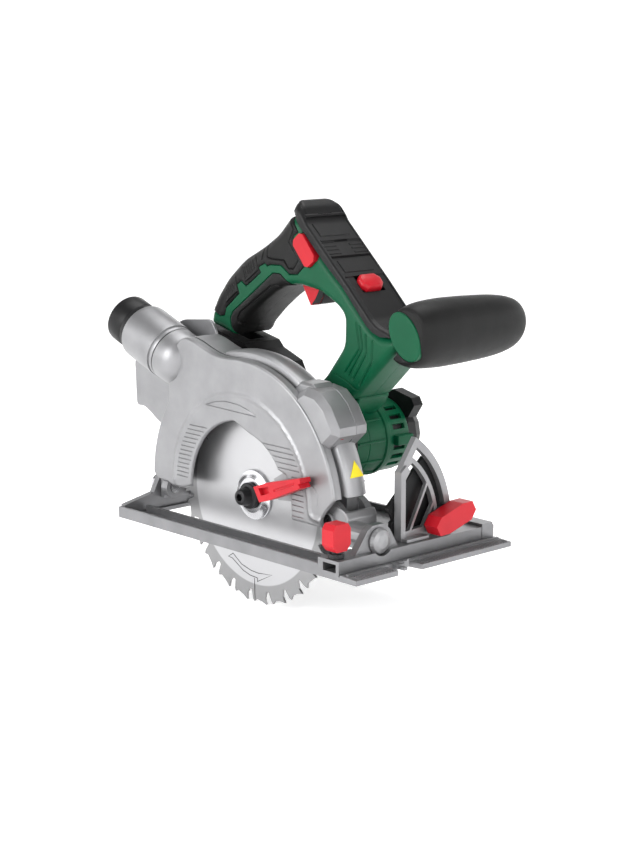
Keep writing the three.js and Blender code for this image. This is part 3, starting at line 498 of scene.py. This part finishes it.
def build_handle():
    pad_lines = [line + line[:1] for line in (PAD_BACK, PAD_FRONT)]
    creases = sides(ARM_GROOVES, 1.1) + sides([ARM_SEAM], 0.7) + sides(pad_lines, 0.8)
    for side, name, node in ((1, "grip_shell_right", "handle_right"), (-1, "grip_shell_left", "handle_left")):
        shell = relief(name, HANDLE_OUTLINE, handle_height(side), HANDLE["mid"] - side * 0.1, GREEN,
                       replaces=(node,), creases=creases, edge_rows=GRIP_ROWS)
        if side > 0:
            hole = turned([(11.6, 4.1), (9.1, 6.6), (-9.1, 6.6), (-11.6, 4.1), (-11.6, -4.1),
                           (-9.1, -6.6), (9.1, -6.6), (11.6, -4.1)], LOCK_AT, -50)
            carve(shell, [prism("hole", hole, 20, 40)])
        trigger_room = prism("hole", [(-4, 140), (-2, 177), (34, 177), (34, 140)], 39, 55)
        carve(shell, [trigger_room])
    for outline, kind, node in ((PAD_BACK, "back", "grip_pad_back"), (PAD_FRONT, "front", "grip_pad_front")):
        soft = rounded(outline, 1.2)
        for side in (1, -1):
            ribs = PAD_RIBS if kind == "back" else []
            lines = sides(PAD_GROOVES[kind], 0.75) + sides(ribs, 0.6) + [soft + soft[:1]]
            relief(f"grip_pad_{kind}_{'right' if side > 0 else 'left'}_skin", PAD_OUTLINE,
                   pad_height(side, soft, PAD_GROOVES[kind], ribs), HANDLE["mid"] - side * 0.05, RUBBER,
                   replaces=(node,), creases=lines, edge_rows=GRIP_ROWS, spacing=1.5,
                   keep=lambda middle, soft=soft: inside(middle, soft))


build_handle()


# ------------------------------------------------------------------ top cover
# Stations down the cover: a point on its outer line, and the one facing it on its inner line.
COVER_STATIONS = [((-1.8, 214.6), (0.4, 212.6)), ((-0.6, 217.8), (1.6, 212.5)), ((1.6, 220.2), (3, 212.2)),
                  ((5, 221.5), (5.6, 211.8)), ((9, 220.8), (7.8, 210.8)), ((13.4, 217.4), (9.6, 209.4)),
                  ((19, 207.6), (13.4, 204.8)),
                  ((40, 187.8), (36, 183.7)), ((57, 172), (53.9, 168.8)), ((80, 149.4), (76.6, 145.4)),
                  ((86, 145.6), (82, 141.8)), ((92.6, 143.8), (89, 139.5)), ((99, 141.2), (98.6, 140.4))]
COVER_Y = (27.0, 67.0)
COVER_STEP = 0.45
NOSE_RUN = 30.0                # length over which the nose cap widens to full width
NOSE_POWER = 2.1
NOSE_FALL = (2.2, 10.0)        # roundness of the cover's rims, and what its nose adds
SOFTENING = 5                  # stations averaged on each side to soften the cover's line
PANEL_X = (17.0, 31.0, 41.0, 54.0)


def cover_relief(x, y, near_edge):
    """Height of the cover's pattern over its smooth surface, by x and y."""
    rim = 2.4
    if near_edge < rim:
        return 0.0
    sunk = -0.7 * min(1.0, (near_edge - rim) / 0.5)
    if x < PANEL_X[0] - 0.6 or x > PANEL_X[-1] + 0.6:
        return sunk + 0.5 * min(1.0, max(0.0, near_edge - rim - 0.8))
    for lower in PANEL_X:
        if abs(x - lower) < 0.45:
            return 0.35
    panel = sum(x > edge for edge in PANEL_X) - 1
    start, end = PANEL_X[panel], PANEL_X[panel + 1]
    t = (x - start) / (end - start)
    level = sunk - 0.25 + 0.5 * t
    if panel in (0, 2):
        mark_y = y - COVER_Y[0] - 6.2
        long_side = abs(mark_y) < 0.5 and 0.2 < t < 0.8
        foot = 0 <= mark_y < 26 and 0.72 < t < 0.8
        if long_side or foot:
            level += 0.55
    elif near_edge < 14 and (t * 4) % 1 < 0.42:
        level += 0.55
    return level


def build_top_cover():
    pairs = []
    for (o0, i0), (o1, i1) in zip(COVER_STATIONS[:-1], COVER_STATIONS[1:]):
        count = math.ceil((Vector(o1) - Vector(o0)).length / COVER_STEP)
        pairs += [(Vector(o0).lerp(Vector(o1), k / count), Vector(i0).lerp(Vector(i1), k / count))
                  for k in range(count)]
    near = range(-SOFTENING, SOFTENING + 1)
    outer = [sum((pairs[min(max(i + k, 0), len(pairs) - 1)][0] for k in near), Vector((0, 0)))
             / len(near) for i in range(len(pairs))]
    inner_line = [inner for _, inner in pairs]
    fine = [0, 0.15, 0.5, 1.0, 1.6, 2.2, 2.4, 2.9, 3.2]
    ys = [COVER_Y[0] + d for d in fine]
    ys += [COVER_Y[0] + 3.2 + (33.6 * i / 60) for i in range(1, 60)]
    ys += [COVER_Y[1] - d for d in reversed(fine)]
    n, m = len(outer), len(ys)
    top, bottom = [], []
    for i, (x, z) in enumerate(outer):
        a, b = Vector(outer[max(i - 1, 0)]), Vector(outer[min(i + 1, n - 1)])
        along = (b - a).normalized()
        out = Vector((-along.y, along.x))
        run = min(i * COVER_STEP / NOSE_RUN, 1.0)
        width = max(0.03, (1 - (1 - run) ** NOSE_POWER) ** (1 / NOSE_POWER))
        edge_fall = NOSE_FALL[0] + NOSE_FALL[1] * (1 - run)
        for y in ys:
            near_edge = min(y - COVER_Y[0], COVER_Y[1] - y)
            lift = cover_relief(x, y, near_edge) - float(drop(np.array([near_edge]), edge_fall)[0])
            across = HANDLE["mid"] + (y - HANDLE["mid"]) * width
            top.append(row(x + out.x * lift, across, z + out.y * lift))
            bottom.append(row(inner_line[i].x, across, inner_line[i].y))
    faces = []
    base = n * m
    for i in range(n - 1):
        for j in range(m - 1):
            a = i * m + j
            faces.append([a, a + 1, a + m + 1, a + m])
            faces.append([base + a, base + a + m, base + a + m + 1, base + a + 1])
    for i in range(n - 1):
        for j in (0, m - 1):
            a = i * m + j
            faces.append([a, a + m, base + a + m, base + a])
    for j in range(m - 1):
        for i in (0, n - 1):
            a = i * m + j
            faces.append([a, a + 1, base + a + 1, base + a])
    cover = piece("top_cover_skin", top + bottom, faces, BLACK, replaces=("top_cover",))
    hole = turned([(6.8, 12), (-6.8, 12), (-6.8, -12), (6.8, -12)], (BUTTON_AT[0], BUTTON_AT[2]), -45)
    carve(cover, [prism("hole", hole, 37, 57)])


build_top_cover()

# ---------------------------------------------------------------- upper guard
FACE_Y = -15.0
COVER_R = 92.5
COVER_FROM = 8.5               # where the round edge starts over the bracket, in degrees
BEAD_R = 69.0
WINDOW = arc(51, -6.8, 26) + arc(45.5, 33, 76, step=3) + arc(51, 96, 181.2)
LOBE = rounded([(-8, 119.2), (-17, 119.0), (-27, 120.3), (-37, 123.4), (-46, 126.6), (-55.5, 128.4), (-62, 126),
                (-68, 118), (-72, 107), (-74, 95)], 5, closed=False)
GUARD_COVER = [*WINDOW, (-52.3, 25.9), (-58.3, 23.6), (-71, 23.2), (-76, 25.1), (-88.1, 25.8), (-92.3, 30)] + \
    arc(COVER_R, 176, 143) + list(reversed(LOBE)) + arc(COVER_R, 93, COVER_FROM) + \
    [(82.6, 31.2), (79.8, 27), (79.4, 21), (50.7, 21)]
BEAD = arc(BEAD_R, 179, 8) + rounded([(68.6, 32), (69.6, 27.6), (73, 26), (79.6, 25.6)], 3, closed=False)
BEAD_HALF = 2.4
EMBLEM = [(-33.5, 85.3), (-24, 88.6), (-12.7, 90.2), (0, 89.6), (10, 87.4), (17.4, 84.1), (-33.5, 85.3)]
CRACK = [(66.4, 51.3), (72.8, 46.4), (77.1, 41.2), (76.4, 35.1)]
LEFT_RIBS = [[(-math.sqrt(66 ** 2 - (z - 27) ** 2), z), (-math.sqrt(53.2 ** 2 - (z - 27) ** 2) - 1.2, z)]
             for z in np.arange(32, 70, 3.1)]
RIGHT_RIBS = [[(math.sqrt(max(46.8 ** 2 - (z - 27) ** 2, 530)), z), (math.sqrt(65.5 ** 2 - (z - 27) ** 2) - 1, z)]
              for z in np.arange(54, 70, 3.4)] + \
    [[(53, z), (63, z)] for z in np.arange(24.4, 50, 3.6)]


def cover_height(points):
    edge = distance_to(points, GUARD_COVER, True)
    window = distance_to(points, WINDOW)
    y = FACE_Y + drop(np.minimum(edge, 1.5), 1.5) + 0.5 * drop(np.minimum(window, 2.4) / 2.4, 1.0)
    bead = distance_to(points, BEAD)
    y = y - np.cos(np.clip(bead / BEAD_HALF, 0, 1) * math.pi / 2) ** 2
    for line in (EMBLEM, CRACK):
        y = y + groove(points, line, 0.45, 0.35)
    for line in LEFT_RIBS + RIGHT_RIBS:
        y = y + groove(points, line, 0.45, 0.4)
    return y


def build_guard():
    creases = sides([BEAD], BEAD_HALF / 2) + offsets(BEAD, BEAD_HALF)[1:] + sides([EMBLEM, CRACK], 0.45)
    creases += sides(LEFT_RIBS + RIGHT_RIBS, 0.45)
    relief("guard_cover_skin", GUARD_COVER, cover_height, -12.8, CAST, replaces=("guard_cover",), spacing=2.0,
           creases=creases, edge_rows=(0.3, 0.8, 1.5))
    rim = arc(COVER_R, 176, 143) + list(reversed(LOBE)) + arc(COVER_R, 93, COVER_FROM) + arc(90.4, COVER_FROM, 176)
    bevelled(prism("guard_cover_rim", rim, -13.4, -8.1, CAST, "saw"), 0.2, 2)
    profile = [(-7.9, 89.6), (-7.9, 90.2), (-6.0, 90.2), (-6.0, 94.6), (-5.4, 95.9), (-4, 96.6), (-2, 97.1),
               (2, 97.5), (6, 97.3), (9, 96.3), (11.5, 94.4), (13.2, 92.4), (14, 90.2), (14, 24.2), (11.8, 24.2),
               (11.8, 89.6), (-7.9, 89.6)]
    barrel = lathe("guard_barrel", profile, AXIS, CAST, "saw", ("guard_body",), steps=180)
    behind = carve(block(-110, 0, -40, 40, -110, 28), [rod(11.6, 15, 86, AXIS)])
    ahead = carve(block(0, 110, -40, 40, -110, 42), [rod(11.6, 15, 86, AXIS)])
    carve(barrel, [behind, ahead, block(-110, -44, -40, 40, -110, 28), block(60, 110, 12.3, 40, -110, 39.4),
                   block(60, 110, 0, 12.3, -110, 24), block(-110, 110, 0, 40, -110, -19),
                   rod(-20, 2.7, 14.4, DEPTH_PIVOT), rod(12.3, 40, 14.4, DEPTH_PIVOT)])
    shoulder = LOBE + [polar(93, a) for a in range(142, 92, -4)]
    bevelled(prism("guard_shoulder", shoulder, -6.6, 13, CAST, "saw"), 4.5, 5)
    lathe("gear_boss", [(9.2, 17.3), (9.2, 24.4), (22, 24.4), (22, 17.3), (9.2, 17.3)], AXIS, CAST, "saw")
    web = rounded([(-66, 52), (-104, 47), (-129, 58), (-133, 60.6), (-143, 66), (-152, 65), (-153.5, 99),
                   (-112, 125), (-97, 133.5), (-66, 136.5), (-60, 128), (-64, 96)], 4)
    bevelled(prism("chute_web", web, 16.6, 18.8, CAST, "saw"), 0.5)
    bevelled(prism("web_bridge", [(-88, 56), (-67, 56), (-67, 84), (-88, 84)], 13, 16.8, CAST, "saw"), 0.5)
    lug = prism("hinge_lug", [(75, 30), (76, 22), (84, 21), (84.6, 28), (84.6, 40), (92, 50), (76, 50)], 3, 12.2,
                CAST, "saw")
    bevelled(carve(lug, [rod(0, 20, 3.2, DEPTH_PIVOT)]), 0.6)


build_guard()

# ------------------------------------------------------------------ dust port
PORT_TILT = math.radians(20.6)
PORT_R = 19.0
PORT_ALONG = Vector((-math.cos(PORT_TILT), 0, math.sin(PORT_TILT)))
PORT_SIDE = Vector((0, 1, 0))
PORT_PLACE = Matrix.Translation(row(-57, -4, 104)) @ Matrix(
    [[MM * v[k] for v in (PORT_SIDE, PORT_ALONG.cross(PORT_SIDE), PORT_ALONG)] + [0] for k in range(3)] + [[0, 0, 0, 1]])


def port(name, profile, material=CAST, body=None, replaces=()):
    return lathe(name, profile, PORT_PLACE, material, body, replaces, axis="port", steps=144)


def build_dust_port():
    dome = [(2 + 17 * (1 - math.cos(a)), PORT_R * math.sin(a) ** 0.9)
            for a in (math.radians(d) for d in range(6, 90, 6))]
    dome = [(2, 0), *dome, (21, PORT_R), (25.4, PORT_R), (26, PORT_R - 0.6), (26, 0)]
    elbow = port("dust_dome", dome, CAST, "saw", ("dust_elbow",))
    bore = port("bore", [(6, 0), (9, 8), (13, 12), (17, 14.6), (22, 15.6), (40, 15.6), (40, 0)])
    carve(elbow, [bore, rod(-12.8, 11.4, 91, AXIS)])
    port("dust_tube", [(26.4, 17.6), (26.4, 18.9), (27, 19.2), (28.6, 19.2), (29, 18.6), (30, 18.6), (30.4, 19.6),
                       (33.5, 19.8), (58, 19.8), (60.6, 19.5), (61.8, 18.8), (62, 17.6), (26.4, 17.6)],
         CAST, "saw", ("dust_collar",))
    port("dust_mouth", [(40, 14.4), (40, 17.3), (66, 17.3), (66.6, 17.0), (67.4, 17.0), (68, 17.3), (80, 17.3),
                        (81.4, 17), (82, 16.4), (82, 15), (81.6, 14.5), (40, 14.4)], BLACK, "saw", ("dust_adapter",))


build_dust_port()


# --------------------------------------------------------------- front handle
def spread(profile, per_step=6):
    """A smooth curve through profile points."""
    pts = [np.array(p, float) for p in profile]
    pts = [2 * pts[0] - pts[1], *pts, 2 * pts[-1] - pts[-2]]
    out = []
    for k in range(1, len(pts) - 2):
        p0, p1, p2, p3 = pts[k - 1:k + 3]
        for i in range(per_step):
            t = i / per_step
            out.append(tuple(0.5 * (2 * p1 + (p2 - p0) * t + (2 * p0 - 5 * p1 + 4 * p2 - p3) * t * t
                                    + (3 * p1 - p0 - 3 * p2 + p3) * t ** 3)))
    return out + [tuple(pts[-2])]


AUX_Y = (27.4, 133.0)
AUX_HALF = (20.0, 23.0)
AUX_TURN = math.radians(30)
AUX_OVAL_TURN = math.radians(127)


def aux_stretch(u, v):
    u, v = AUX_HALF[0] * u, AUX_HALF[1] * v
    return (u * math.cos(AUX_TURN) + v * math.sin(AUX_TURN), v * math.cos(AUX_TURN) - u * math.sin(AUX_TURN))


def aux_oval(major, minor):
    c, s = math.cos(AUX_OVAL_TURN), math.sin(AUX_OVAL_TURN)
    return [(AUX[0] + major * math.cos(t) * c - minor * math.sin(t) * s,
             AUX[1] + major * math.cos(t) * s + minor * math.sin(t) * c)
            for t in (math.radians(4 * i) for i in range(90))]


def build_front_handle():
    length = AUX_Y[1] - AUX_Y[0]
    curve = [(0, 0.74), (0.02, 0.84), (0.1, 0.95), (0.25, 1), (0.4, 0.995), (0.55, 0.97), (0.7, 0.93), (0.82, 0.86),
             (0.91, 0.74), (0.965, 0.52), (0.99, 0.3), (1, 0.04)]
    profile = [(AUX_Y[0], 0)] + [(AUX_Y[0] + min(t, 1) * length, r) for t, r in spread(curve)] + [(AUX_Y[1], 0)]
    grip = lathe("front_grip", profile, AUX, RUBBER, "saw", ("aux_handle_grip",), steps=120, stretch=aux_stretch)
    arm = prism("arm", [(40, 120), (60, 96), (104, 130), (104.4, 134.6), (99.6, 141.4), (60, 190)], 20, 67.3)
    carve(grip, [prism("oval", aux_oval(17.3, 11.8), 20, 112.4), arm])
    core = prism("front_core", aux_oval(17, 11.5), 26.6, 112, GREEN, "saw", ("aux_handle_core",))
    bevelled(core, 1.0, 4)


build_front_handle()


# ----------------------------------------------------- blade, flange and lever
ARROW = [(-28.6, -21.2), (-23.6, -18.1), (-14.9, -23.9), (-5, -26.4), (2.6, -26.9), (16.6, -25.4), (1.7, -32.8),
         (1.7, -30.4), (-6, -29.9), (-13.3, -27.9), (-24.5, -21.6)]
TRIGGER_TIP = [(10.6, 151.3), (20.3, 153.2), (23.4, 158), (24.2, 167), (20.6, 166), (15.5, 157)]
LEVER = [(28.2, 41), (34, 31.6), (43, 34.4), (73.4, 47.4), (71.6, 50), (73.6, 50.8), (72.6, 53.8), (41, 45.8)]


def strip(name, line, half, y0, y1, material, body):
    """A thin raised band along a closed line."""
    outer, inner = grown(line, half), grown(line, -half)
    n = len(line)
    points = [row(x, y, z) for y in (y0, y1) for ring in (outer, inner) for x, z in ring]
    faces = []
    for i in range(n):
        j = (i + 1) % n
        faces += [[i, j, n + j, n + i], [2 * n + j, 2 * n + i, 3 * n + i, 3 * n + j],
                  [i, 2 * n + i, 2 * n + j, j], [n + j, 3 * n + j, 3 * n + i, n + i]]
    return piece(name, points, faces, material, body)


def build_light_button():
    """Eight-sided button with sloping shoulders, standing out of the cover."""
    out, down = Vector((1, 0, 1)).normalized(), Vector((1, 0, -1)).normalized()
    across = Vector((0, 1, 0))
    layers = [(-2.2, 0.0), (1.2, 0.0), (2.6, 0.9), (3.3, 2.6)]
    points, faces = [], []
    for lift, inset in layers:
        a, b, c = 9.4 - inset, 6.2 - inset, 3.6 - 0.4 * inset
        for u, v in ((a, b - c), (a - c, b), (-a + c, b), (-a, b - c), (-a, -b + c), (-a + c, -b), (a - c, -b),
                     (a, -b + c)):
            points.append(row(*(Vector(BUTTON_AT) + out * lift + across * u + down * v)))
    for k in range(len(layers) - 1):
        faces += [[k * 8 + i, k * 8 + (i + 1) % 8, (k + 1) * 8 + (i + 1) % 8, (k + 1) * 8 + i] for i in range(8)]
    faces += [list(range(8)), list(range(len(points) - 8, len(points)))]
    bevelled(piece("light_button_cap", points, faces, RED, "light_button", ("light_button",)), 0.6, 4, 20)


build_light_button()


def build_blade_end():
    strip("turning_arrow", ARROW, 0.28, -0.86, -0.7, MARK, "spindle")
    flange = [(-1.1, 4.3), (-1.1, 17), (-2.2, 17), (-2.6, 16.7), (-3.0, 14.6), (-3.9, 13.4), (-4.3, 12.6),
              (-4.8, 11.8), (-4.8, 4.3), (-1.1, 4.3)]
    lathe("outer_flange_turned", flange, AXIS, STEEL, "spindle", ("outer_flange",), steps=96)
    bolt = [(14, 0), (14, 3.9), (-5.1, 3.9), (-5.1, 8.6), (-5.4, 8.9), (-7.4, 8.9), (-7.9, 8.5), (-8.2, 6.6),
            (-8.8, 6.1), (-13.4, 5.5), (-14.6, 4.9), (-15, 4.2), (-15, 0)]
    head = lathe("blade_bolt_turned", bolt, AXIS, DARK_STEEL, "spindle", ("blade_bolt",), steps=96)
    carve(head, [prism("hex", [polar(2.9, 60 * k) for k in range(6)], -16, -10)])
    bevelled(prism("trigger_tip", TRIGGER_TIP, 39.2, 54.8, BLACK, "trigger"), 1.0)
    lever = prism("guard_lever_arm", LEVER, -27, -17.6, RED, "lower_guard", ("guard_lever",))
    slot = prism("slot", [(33.4, 40.8), (36, 36.6), (44, 39.4), (42.8, 43.2)], -28, -23.6)
    groove_line = prism("slot", [(48, 42.4), (48.4, 41.2), (68, 48.8), (67.6, 50)], -28, -26.4)
    bevelled(carve(lever, [slot, groove_line]), 0.7)
    root = polar(43, 18)
    lathe("guard_lever_root", [(-18, 0), (-18, 4.4), (-10.5, 4.4), (-10.5, 1.3), (-8.9, 1.3), (-8.9, 0)], root, RED,
          "lower_guard", steps=48)


build_blade_end()

# ----------------------------------------------------- light box and motor can
LIGHT_BOX = [(51, 96), (54, 104), (62, 108.5), (74, 106.5), (83.5, 99), (91.8, 86), (91.8, 80.5), (85, 74.5),
             (78, 69), (60, 84)]
LIGHT_REAR = [(43, 94), (45.6, 105), (52, 110.6), (63, 110.2), (70, 104), (60, 88)]
LABEL = {"angle": 19.0, "y": 3.5, "half": 6.2, "radius": 97.72, "crown_y": 2.5, "crown": 0.018}


def loft(name, outline, rings, material, body, replaces=()):
    """Rings of the same outline, each (y, inset), joined up and closed."""
    n = len(outline)
    points, faces = [], []
    for y, inset in rings:
        points += [row(x, y, z) for x, z in grown(outline, -inset)]
    for k in range(len(rings) - 1):
        faces += [[k * n + i, k * n + (i + 1) % n, (k + 1) * n + (i + 1) % n, (k + 1) * n + i] for i in range(n)]
    faces += [list(range(n)), list(range(len(points) - n, len(points)))]
    return piece(name, points, faces, material, body, replaces)


def build_light_box():
    rings = [(-14, 4.4), (-10, 0), (3.9, 0), (4.1, 0.5), (4.5, 0.5), (4.7, 0), (12.6, 0), (16, 3)]
    bevelled(loft("light_box", LIGHT_BOX, rings, CAST, "saw", ("light_housing", "light_cover")), 0.5, 3, 25)
    bevelled(loft("light_box_rear", LIGHT_REAR, [(-8, 1.5), (-6.4, 0), (9, 0), (10, 1)], CAST, "saw"), 0.5, 3, 25)
    slot = prism("light_slot", [(80.4, 73.2), (86.4, 78), (87.4, 76.6), (81.6, 71.8)], -9.4, 7, BLACK, "saw")
    bevelled(slot, 0.4)


def build_label():
    """A plain yellow triangle that follows the guard's round front."""
    count = 10
    points, faces = [], []
    corners = [Vector((-1.0, -0.86)), Vector((1.0, -0.86)), Vector((0, 0.87))]
    for i in range(count + 1):
        for k in range(i + 1):
            t = corners[2].lerp(corners[0], i / count).lerp(corners[2].lerp(corners[1], i / count),
                                                           k / i if i else 0)
            along = LABEL["angle"] + math.degrees(t.y * LABEL["half"] / 97.6)
            y = LABEL["y"] + t.x * LABEL["half"]
            radius = LABEL["radius"] - LABEL["crown"] * (y - LABEL["crown_y"]) ** 2
            x, z = polar(radius, along)
            points.append(row(x, y, z))
    start = [i * (i + 1) // 2 for i in range(count + 2)]
    for i in range(count):
        for k in range(i + 1):
            faces.append([start[i] + k, start[i + 1] + k, start[i + 1] + k + 1])
            if k < i:
                faces.append([start[i] + k, start[i + 1] + k + 1, start[i] + k + 1])
    label = piece("label_blank", points, faces, YELLOW, "saw")
    thick = label.modifiers.new("thick", "SOLIDIFY")
    thick.thickness = 0.15 * MM


def build_motor():
    shell = [(42.4, 22.8), (42.4, 25.1), (43, 25.5), (54, 25.5), (54.3, 25.1), (54.9, 25.1), (55.2, 25.5),
             (69.6, 25.5), (70.2, 26.6), (73.6, 26.6), (74.2, 25.5), (90.6, 25.5), (92, 24.9), (92, 22.8), (42.4, 22.8)]
    can = lathe("motor_shell", shell, MOTOR, GREEN, "saw", ("motor_housing",), steps=144)
    vents = []
    for a in (-48, -32, -16, 16, 32, 48, 150, 165, 180, 195):
        ring = arc(20, a, a + 8, MOTOR) + list(reversed(arc(32, a, a + 8, MOTOR)))
        vents.append(prism("vent", ring, 77.5, 88))
    carve(can, vents)
    bevelled(can, 0.4)
    for k, a in enumerate((-60, -30, 3, 36)):
        x, z = polar(25.6, a, MOTOR)
        rib = lathe(f"motor_rib_{k}", [(44, 0), (44, 0.9), (69, 0.9), (69, 0)], (x, z), GREEN, "saw", steps=16)
        bevelled(rib, 0.3)
    bevelled(prism("motor_plug", [(49, 57.6), (57, 57.6), (57, 64.4), (49, 64.4)], 77, 91.6, GREEN, "saw"), 0.8)
    foot = [(18, 84), (30, 80), (44, 80), (52, 86), (57.4, 93.8), (56, 96.4), (30, 101), (22, 93)]
    bevelled(prism("motor_foot", foot, 40, 68, GREEN, "saw"), 2.4, 4)
    lathe("motor_lining", [(43, 21.9), (43, 22.7), (91.8, 22.7), (91.8, 21.9), (43, 21.9)], MOTOR, BLACK, "saw",
          steps=96)


build_light_box()
build_label()
build_motor()


# ------------------------------------------------------------ sole and bracket
def bars(name, boxes, material, body, edge=0.15):
    """Many small raised bars as one piece. A box is (x0, x1, y0, y1, z0, z1)."""
    points, faces = [], []
    for x0, x1, y0, y1, z0, z1 in boxes:
        base = len(points)
        points += [row(x, y, z) for x in (x0, x1) for y in (y0, y1) for z in (z0, z1)]
        faces += [[base + k for k in face] for face in
                  ((0, 1, 3, 2), (4, 6, 7, 5), (0, 4, 5, 1), (2, 3, 7, 6), (0, 2, 6, 4), (1, 5, 7, 3))]
    return bevelled(piece(name, points, faces, material, body), edge, 2)


def build_sole_detail():
    scale = [(130.2, 137, y, y + 0.7, 3.0, 4.0) for y in (*np.arange(-36, -6, 2.4), *np.arange(20, 98, 2.4))]
    bars("lip_scale", scale, SOLE, "base")
    ticks = [(124, 126.6, y, y + 0.8, 3.7, 4.3) for y in np.arange(-34, 96, 5.2)]
    bars("lip_ticks", ticks, SOLE, "base")
    edge = [(-99, 103, -39.9, -39.2, 7.4, 7.9), (-90, 103, -23.2, -22.5, 6.9, 7.3)]
    bars("trough_edges", edge, SOLE, "base", 0.2)
    for k in range(6):
        x = -70.8 + 26.6 * k
        lathe(f"trough_hole_{k}", [(2.5, 1.4), (2.5, 2.2), (3.0, 2.1), (3.0, 1.5), (2.5, 1.4)],
              Matrix.Translation(row(x, -30, 0)) @ Matrix.Scale(MM, 4), STEEL, "base", axis="up", steps=24)
    near_ear = rounded([(74.5, 20), (74, 29), (78, 33), (86, 36), (94.6, 32.4), (95.4, 20), (90, 14), (80, 14)],
                       2.4)
    bevelled(prism("bracket_near_ear", near_ear, -7.9, -3.6, CAST, "carriage"), 0.8)
    front = [(92.6, 13.4), (96.6, 13.4), (97, 28), (94.6, 32.4), (92.6, 32.4)]
    bevelled(prism("bracket_front", front, -7.6, 18, CAST, "carriage"), 1.4, 4)
    lathe("bracket_pin_ring", [(-9.6, 4.0), (-9.6, 5.4), (-7.5, 5.6), (-7.5, 4.0), (-9.6, 4.0)], DEPTH_PIVOT, CAST,
          "carriage", steps=48)


build_sole_detail()

# ------------------------------------------------------------- carried pieces
LOOK_OF = {
    BLACK: ["drive_housing", "motor_end_cap", "bevel_plate", "battery_pack", "motor_fan", "trigger_switch"],
    RED: ["trigger", "lock_button", "fence_knob", "bevel_knob", "depth_lever", "battery_latch"],
    CAST: ["front_bevel_pin", "bevel_quadrant", "bevel_bracket", "rear_bracket", "lower_guard"],
    SOLE: ["base_plate"],
    STEEL: ["inner_flange", "spindle", "spindle_bearing_front", "spindle_bearing_rear",
            "driven_gear", "pinion", "motor_bearing_front", "motor_bearing_rear", "rear_bevel_pin",
            "depth_arc"],
    DARK_STEEL: ["fence_stud", "bevel_bolt", "depth_pivot_pin", "field_can", "depth_bolt"],
    COPPER: ["armature", "brush_1", "brush_2"],
    LENS: ["light_lens"],
    BLADE: ["saw_blade"],
}
EDGE_OF = {
    "base_plate": 0.5, "drive_housing": 0.6, "motor_end_cap": 0.8, "lock_button": 1.8,
    "trigger": 1.6, "fence_knob": 2.2, "bevel_knob": 2.2, "bevel_quadrant": 0.5,
    "bevel_bracket": 0.8, "bevel_plate": 0.4, "battery_pack": 1.0, "saw_blade": 0.12, "depth_lever": 1.0,
}
for look, names in LOOK_OF.items():
    for name in names:
        node = NODES[name]
        node.data.materials.clear()
        node.data.materials.append(look)
        if name in EDGE_OF:
            flat = node.modifiers.new("flat", "DECIMATE")
            flat.decimate_type = "DISSOLVE"
            flat.angle_limit = math.radians(0.8)
            bevelled(node, EDGE_OF[name])
        shade(node)

# --------------------------------------------------------------------- studio
FLOOR_Z = -0.0478
FLOOR_HALF = 40.0
RING_R, RING_Z, RING_SIDES = 7.0, (-0.1, 3.2), 64
CENTRE = Vector((-0.12, 0.02, 0.09))


def stage(name, points, faces, finish, glow):
    """A piece of the studio, which glows a little so that it renders plain white."""
    mesh = bpy.data.meshes.new(name)
    mesh.from_pydata(points, [], faces)
    obj = bpy.data.objects.new(name, mesh)
    bpy.context.scene.collection.objects.link(obj)
    finish.shader.inputs["Emission Color"].default_value = (1, 1, 1, 1)
    finish.shader.inputs["Emission Strength"].default_value = glow
    mesh.materials.append(finish.material)


floor_finish = Finish("floor_paint", (246, 246, 246), 0.7)
floor_finish.mottle(0.004, 2.0)
stage("floor", [(x * FLOOR_HALF, y * FLOOR_HALF, FLOOR_Z) for x, y in ((-1, -1), (1, -1), (1, 1), (-1, 1))],
      [[0, 1, 2, 3]], floor_finish, 0.5)

world = bpy.data.worlds.new("studio")
world.use_nodes = True
world.node_tree.nodes["Background"].inputs["Color"].default_value = (1, 1, 1, 1)
world.node_tree.nodes["Background"].inputs["Strength"].default_value = 0.3
bpy.context.scene.world = world

wall_finish = Finish("backdrop_glow", (250, 250, 250), 0.9)
wall_finish.mottle(0.002, 0.5)
ring_angles = [2 * math.pi * i / RING_SIDES for i in range(RING_SIDES)]
stage("backdrop", [(RING_R * math.cos(a), RING_R * math.sin(a), z) for z in RING_Z for a in ring_angles],
      [[i, (i + 1) % RING_SIDES, RING_SIDES + (i + 1) % RING_SIDES, RING_SIDES + i] for i in range(RING_SIDES)],
      wall_finish, 0.8)


def soft_light(name, place, size, watts):
    data = bpy.data.lights.new(name, "AREA")
    data.shape = "SQUARE"
    data.size = size
    data.energy = watts
    lamp = bpy.data.objects.new(name, data)
    bpy.context.scene.collection.objects.link(lamp)
    lamp.location = place
    lamp.rotation_euler = (CENTRE - Vector(place)).to_track_quat("-Z", "Y").to_euler()


soft_light("key", (-0.3, -1.2, 0.6), 0.7, 9.5)
soft_light("fill", (1.1, -0.1, 0.5), 0.9, 3.5)
soft_light("top", (-0.2, 0.3, 1.2), 0.9, 9)

camera_data = bpy.data.cameras.new("camera")
camera_data.lens = 77.06
camera_data.sensor_width = 36.0
camera_data.clip_end = 200.0
camera = bpy.data.objects.new("camera", camera_data)
bpy.context.scene.collection.objects.link(camera)
camera.location = (0.7888, -0.7760, 0.3056)
camera.rotation_euler = Vector((-0.7205, 0.6663, -0.1922)).to_track_quat("-Z", "Y").to_euler()
bpy.context.scene.camera = camera
bpy.context.scene.view_settings.view_transform = "Standard"
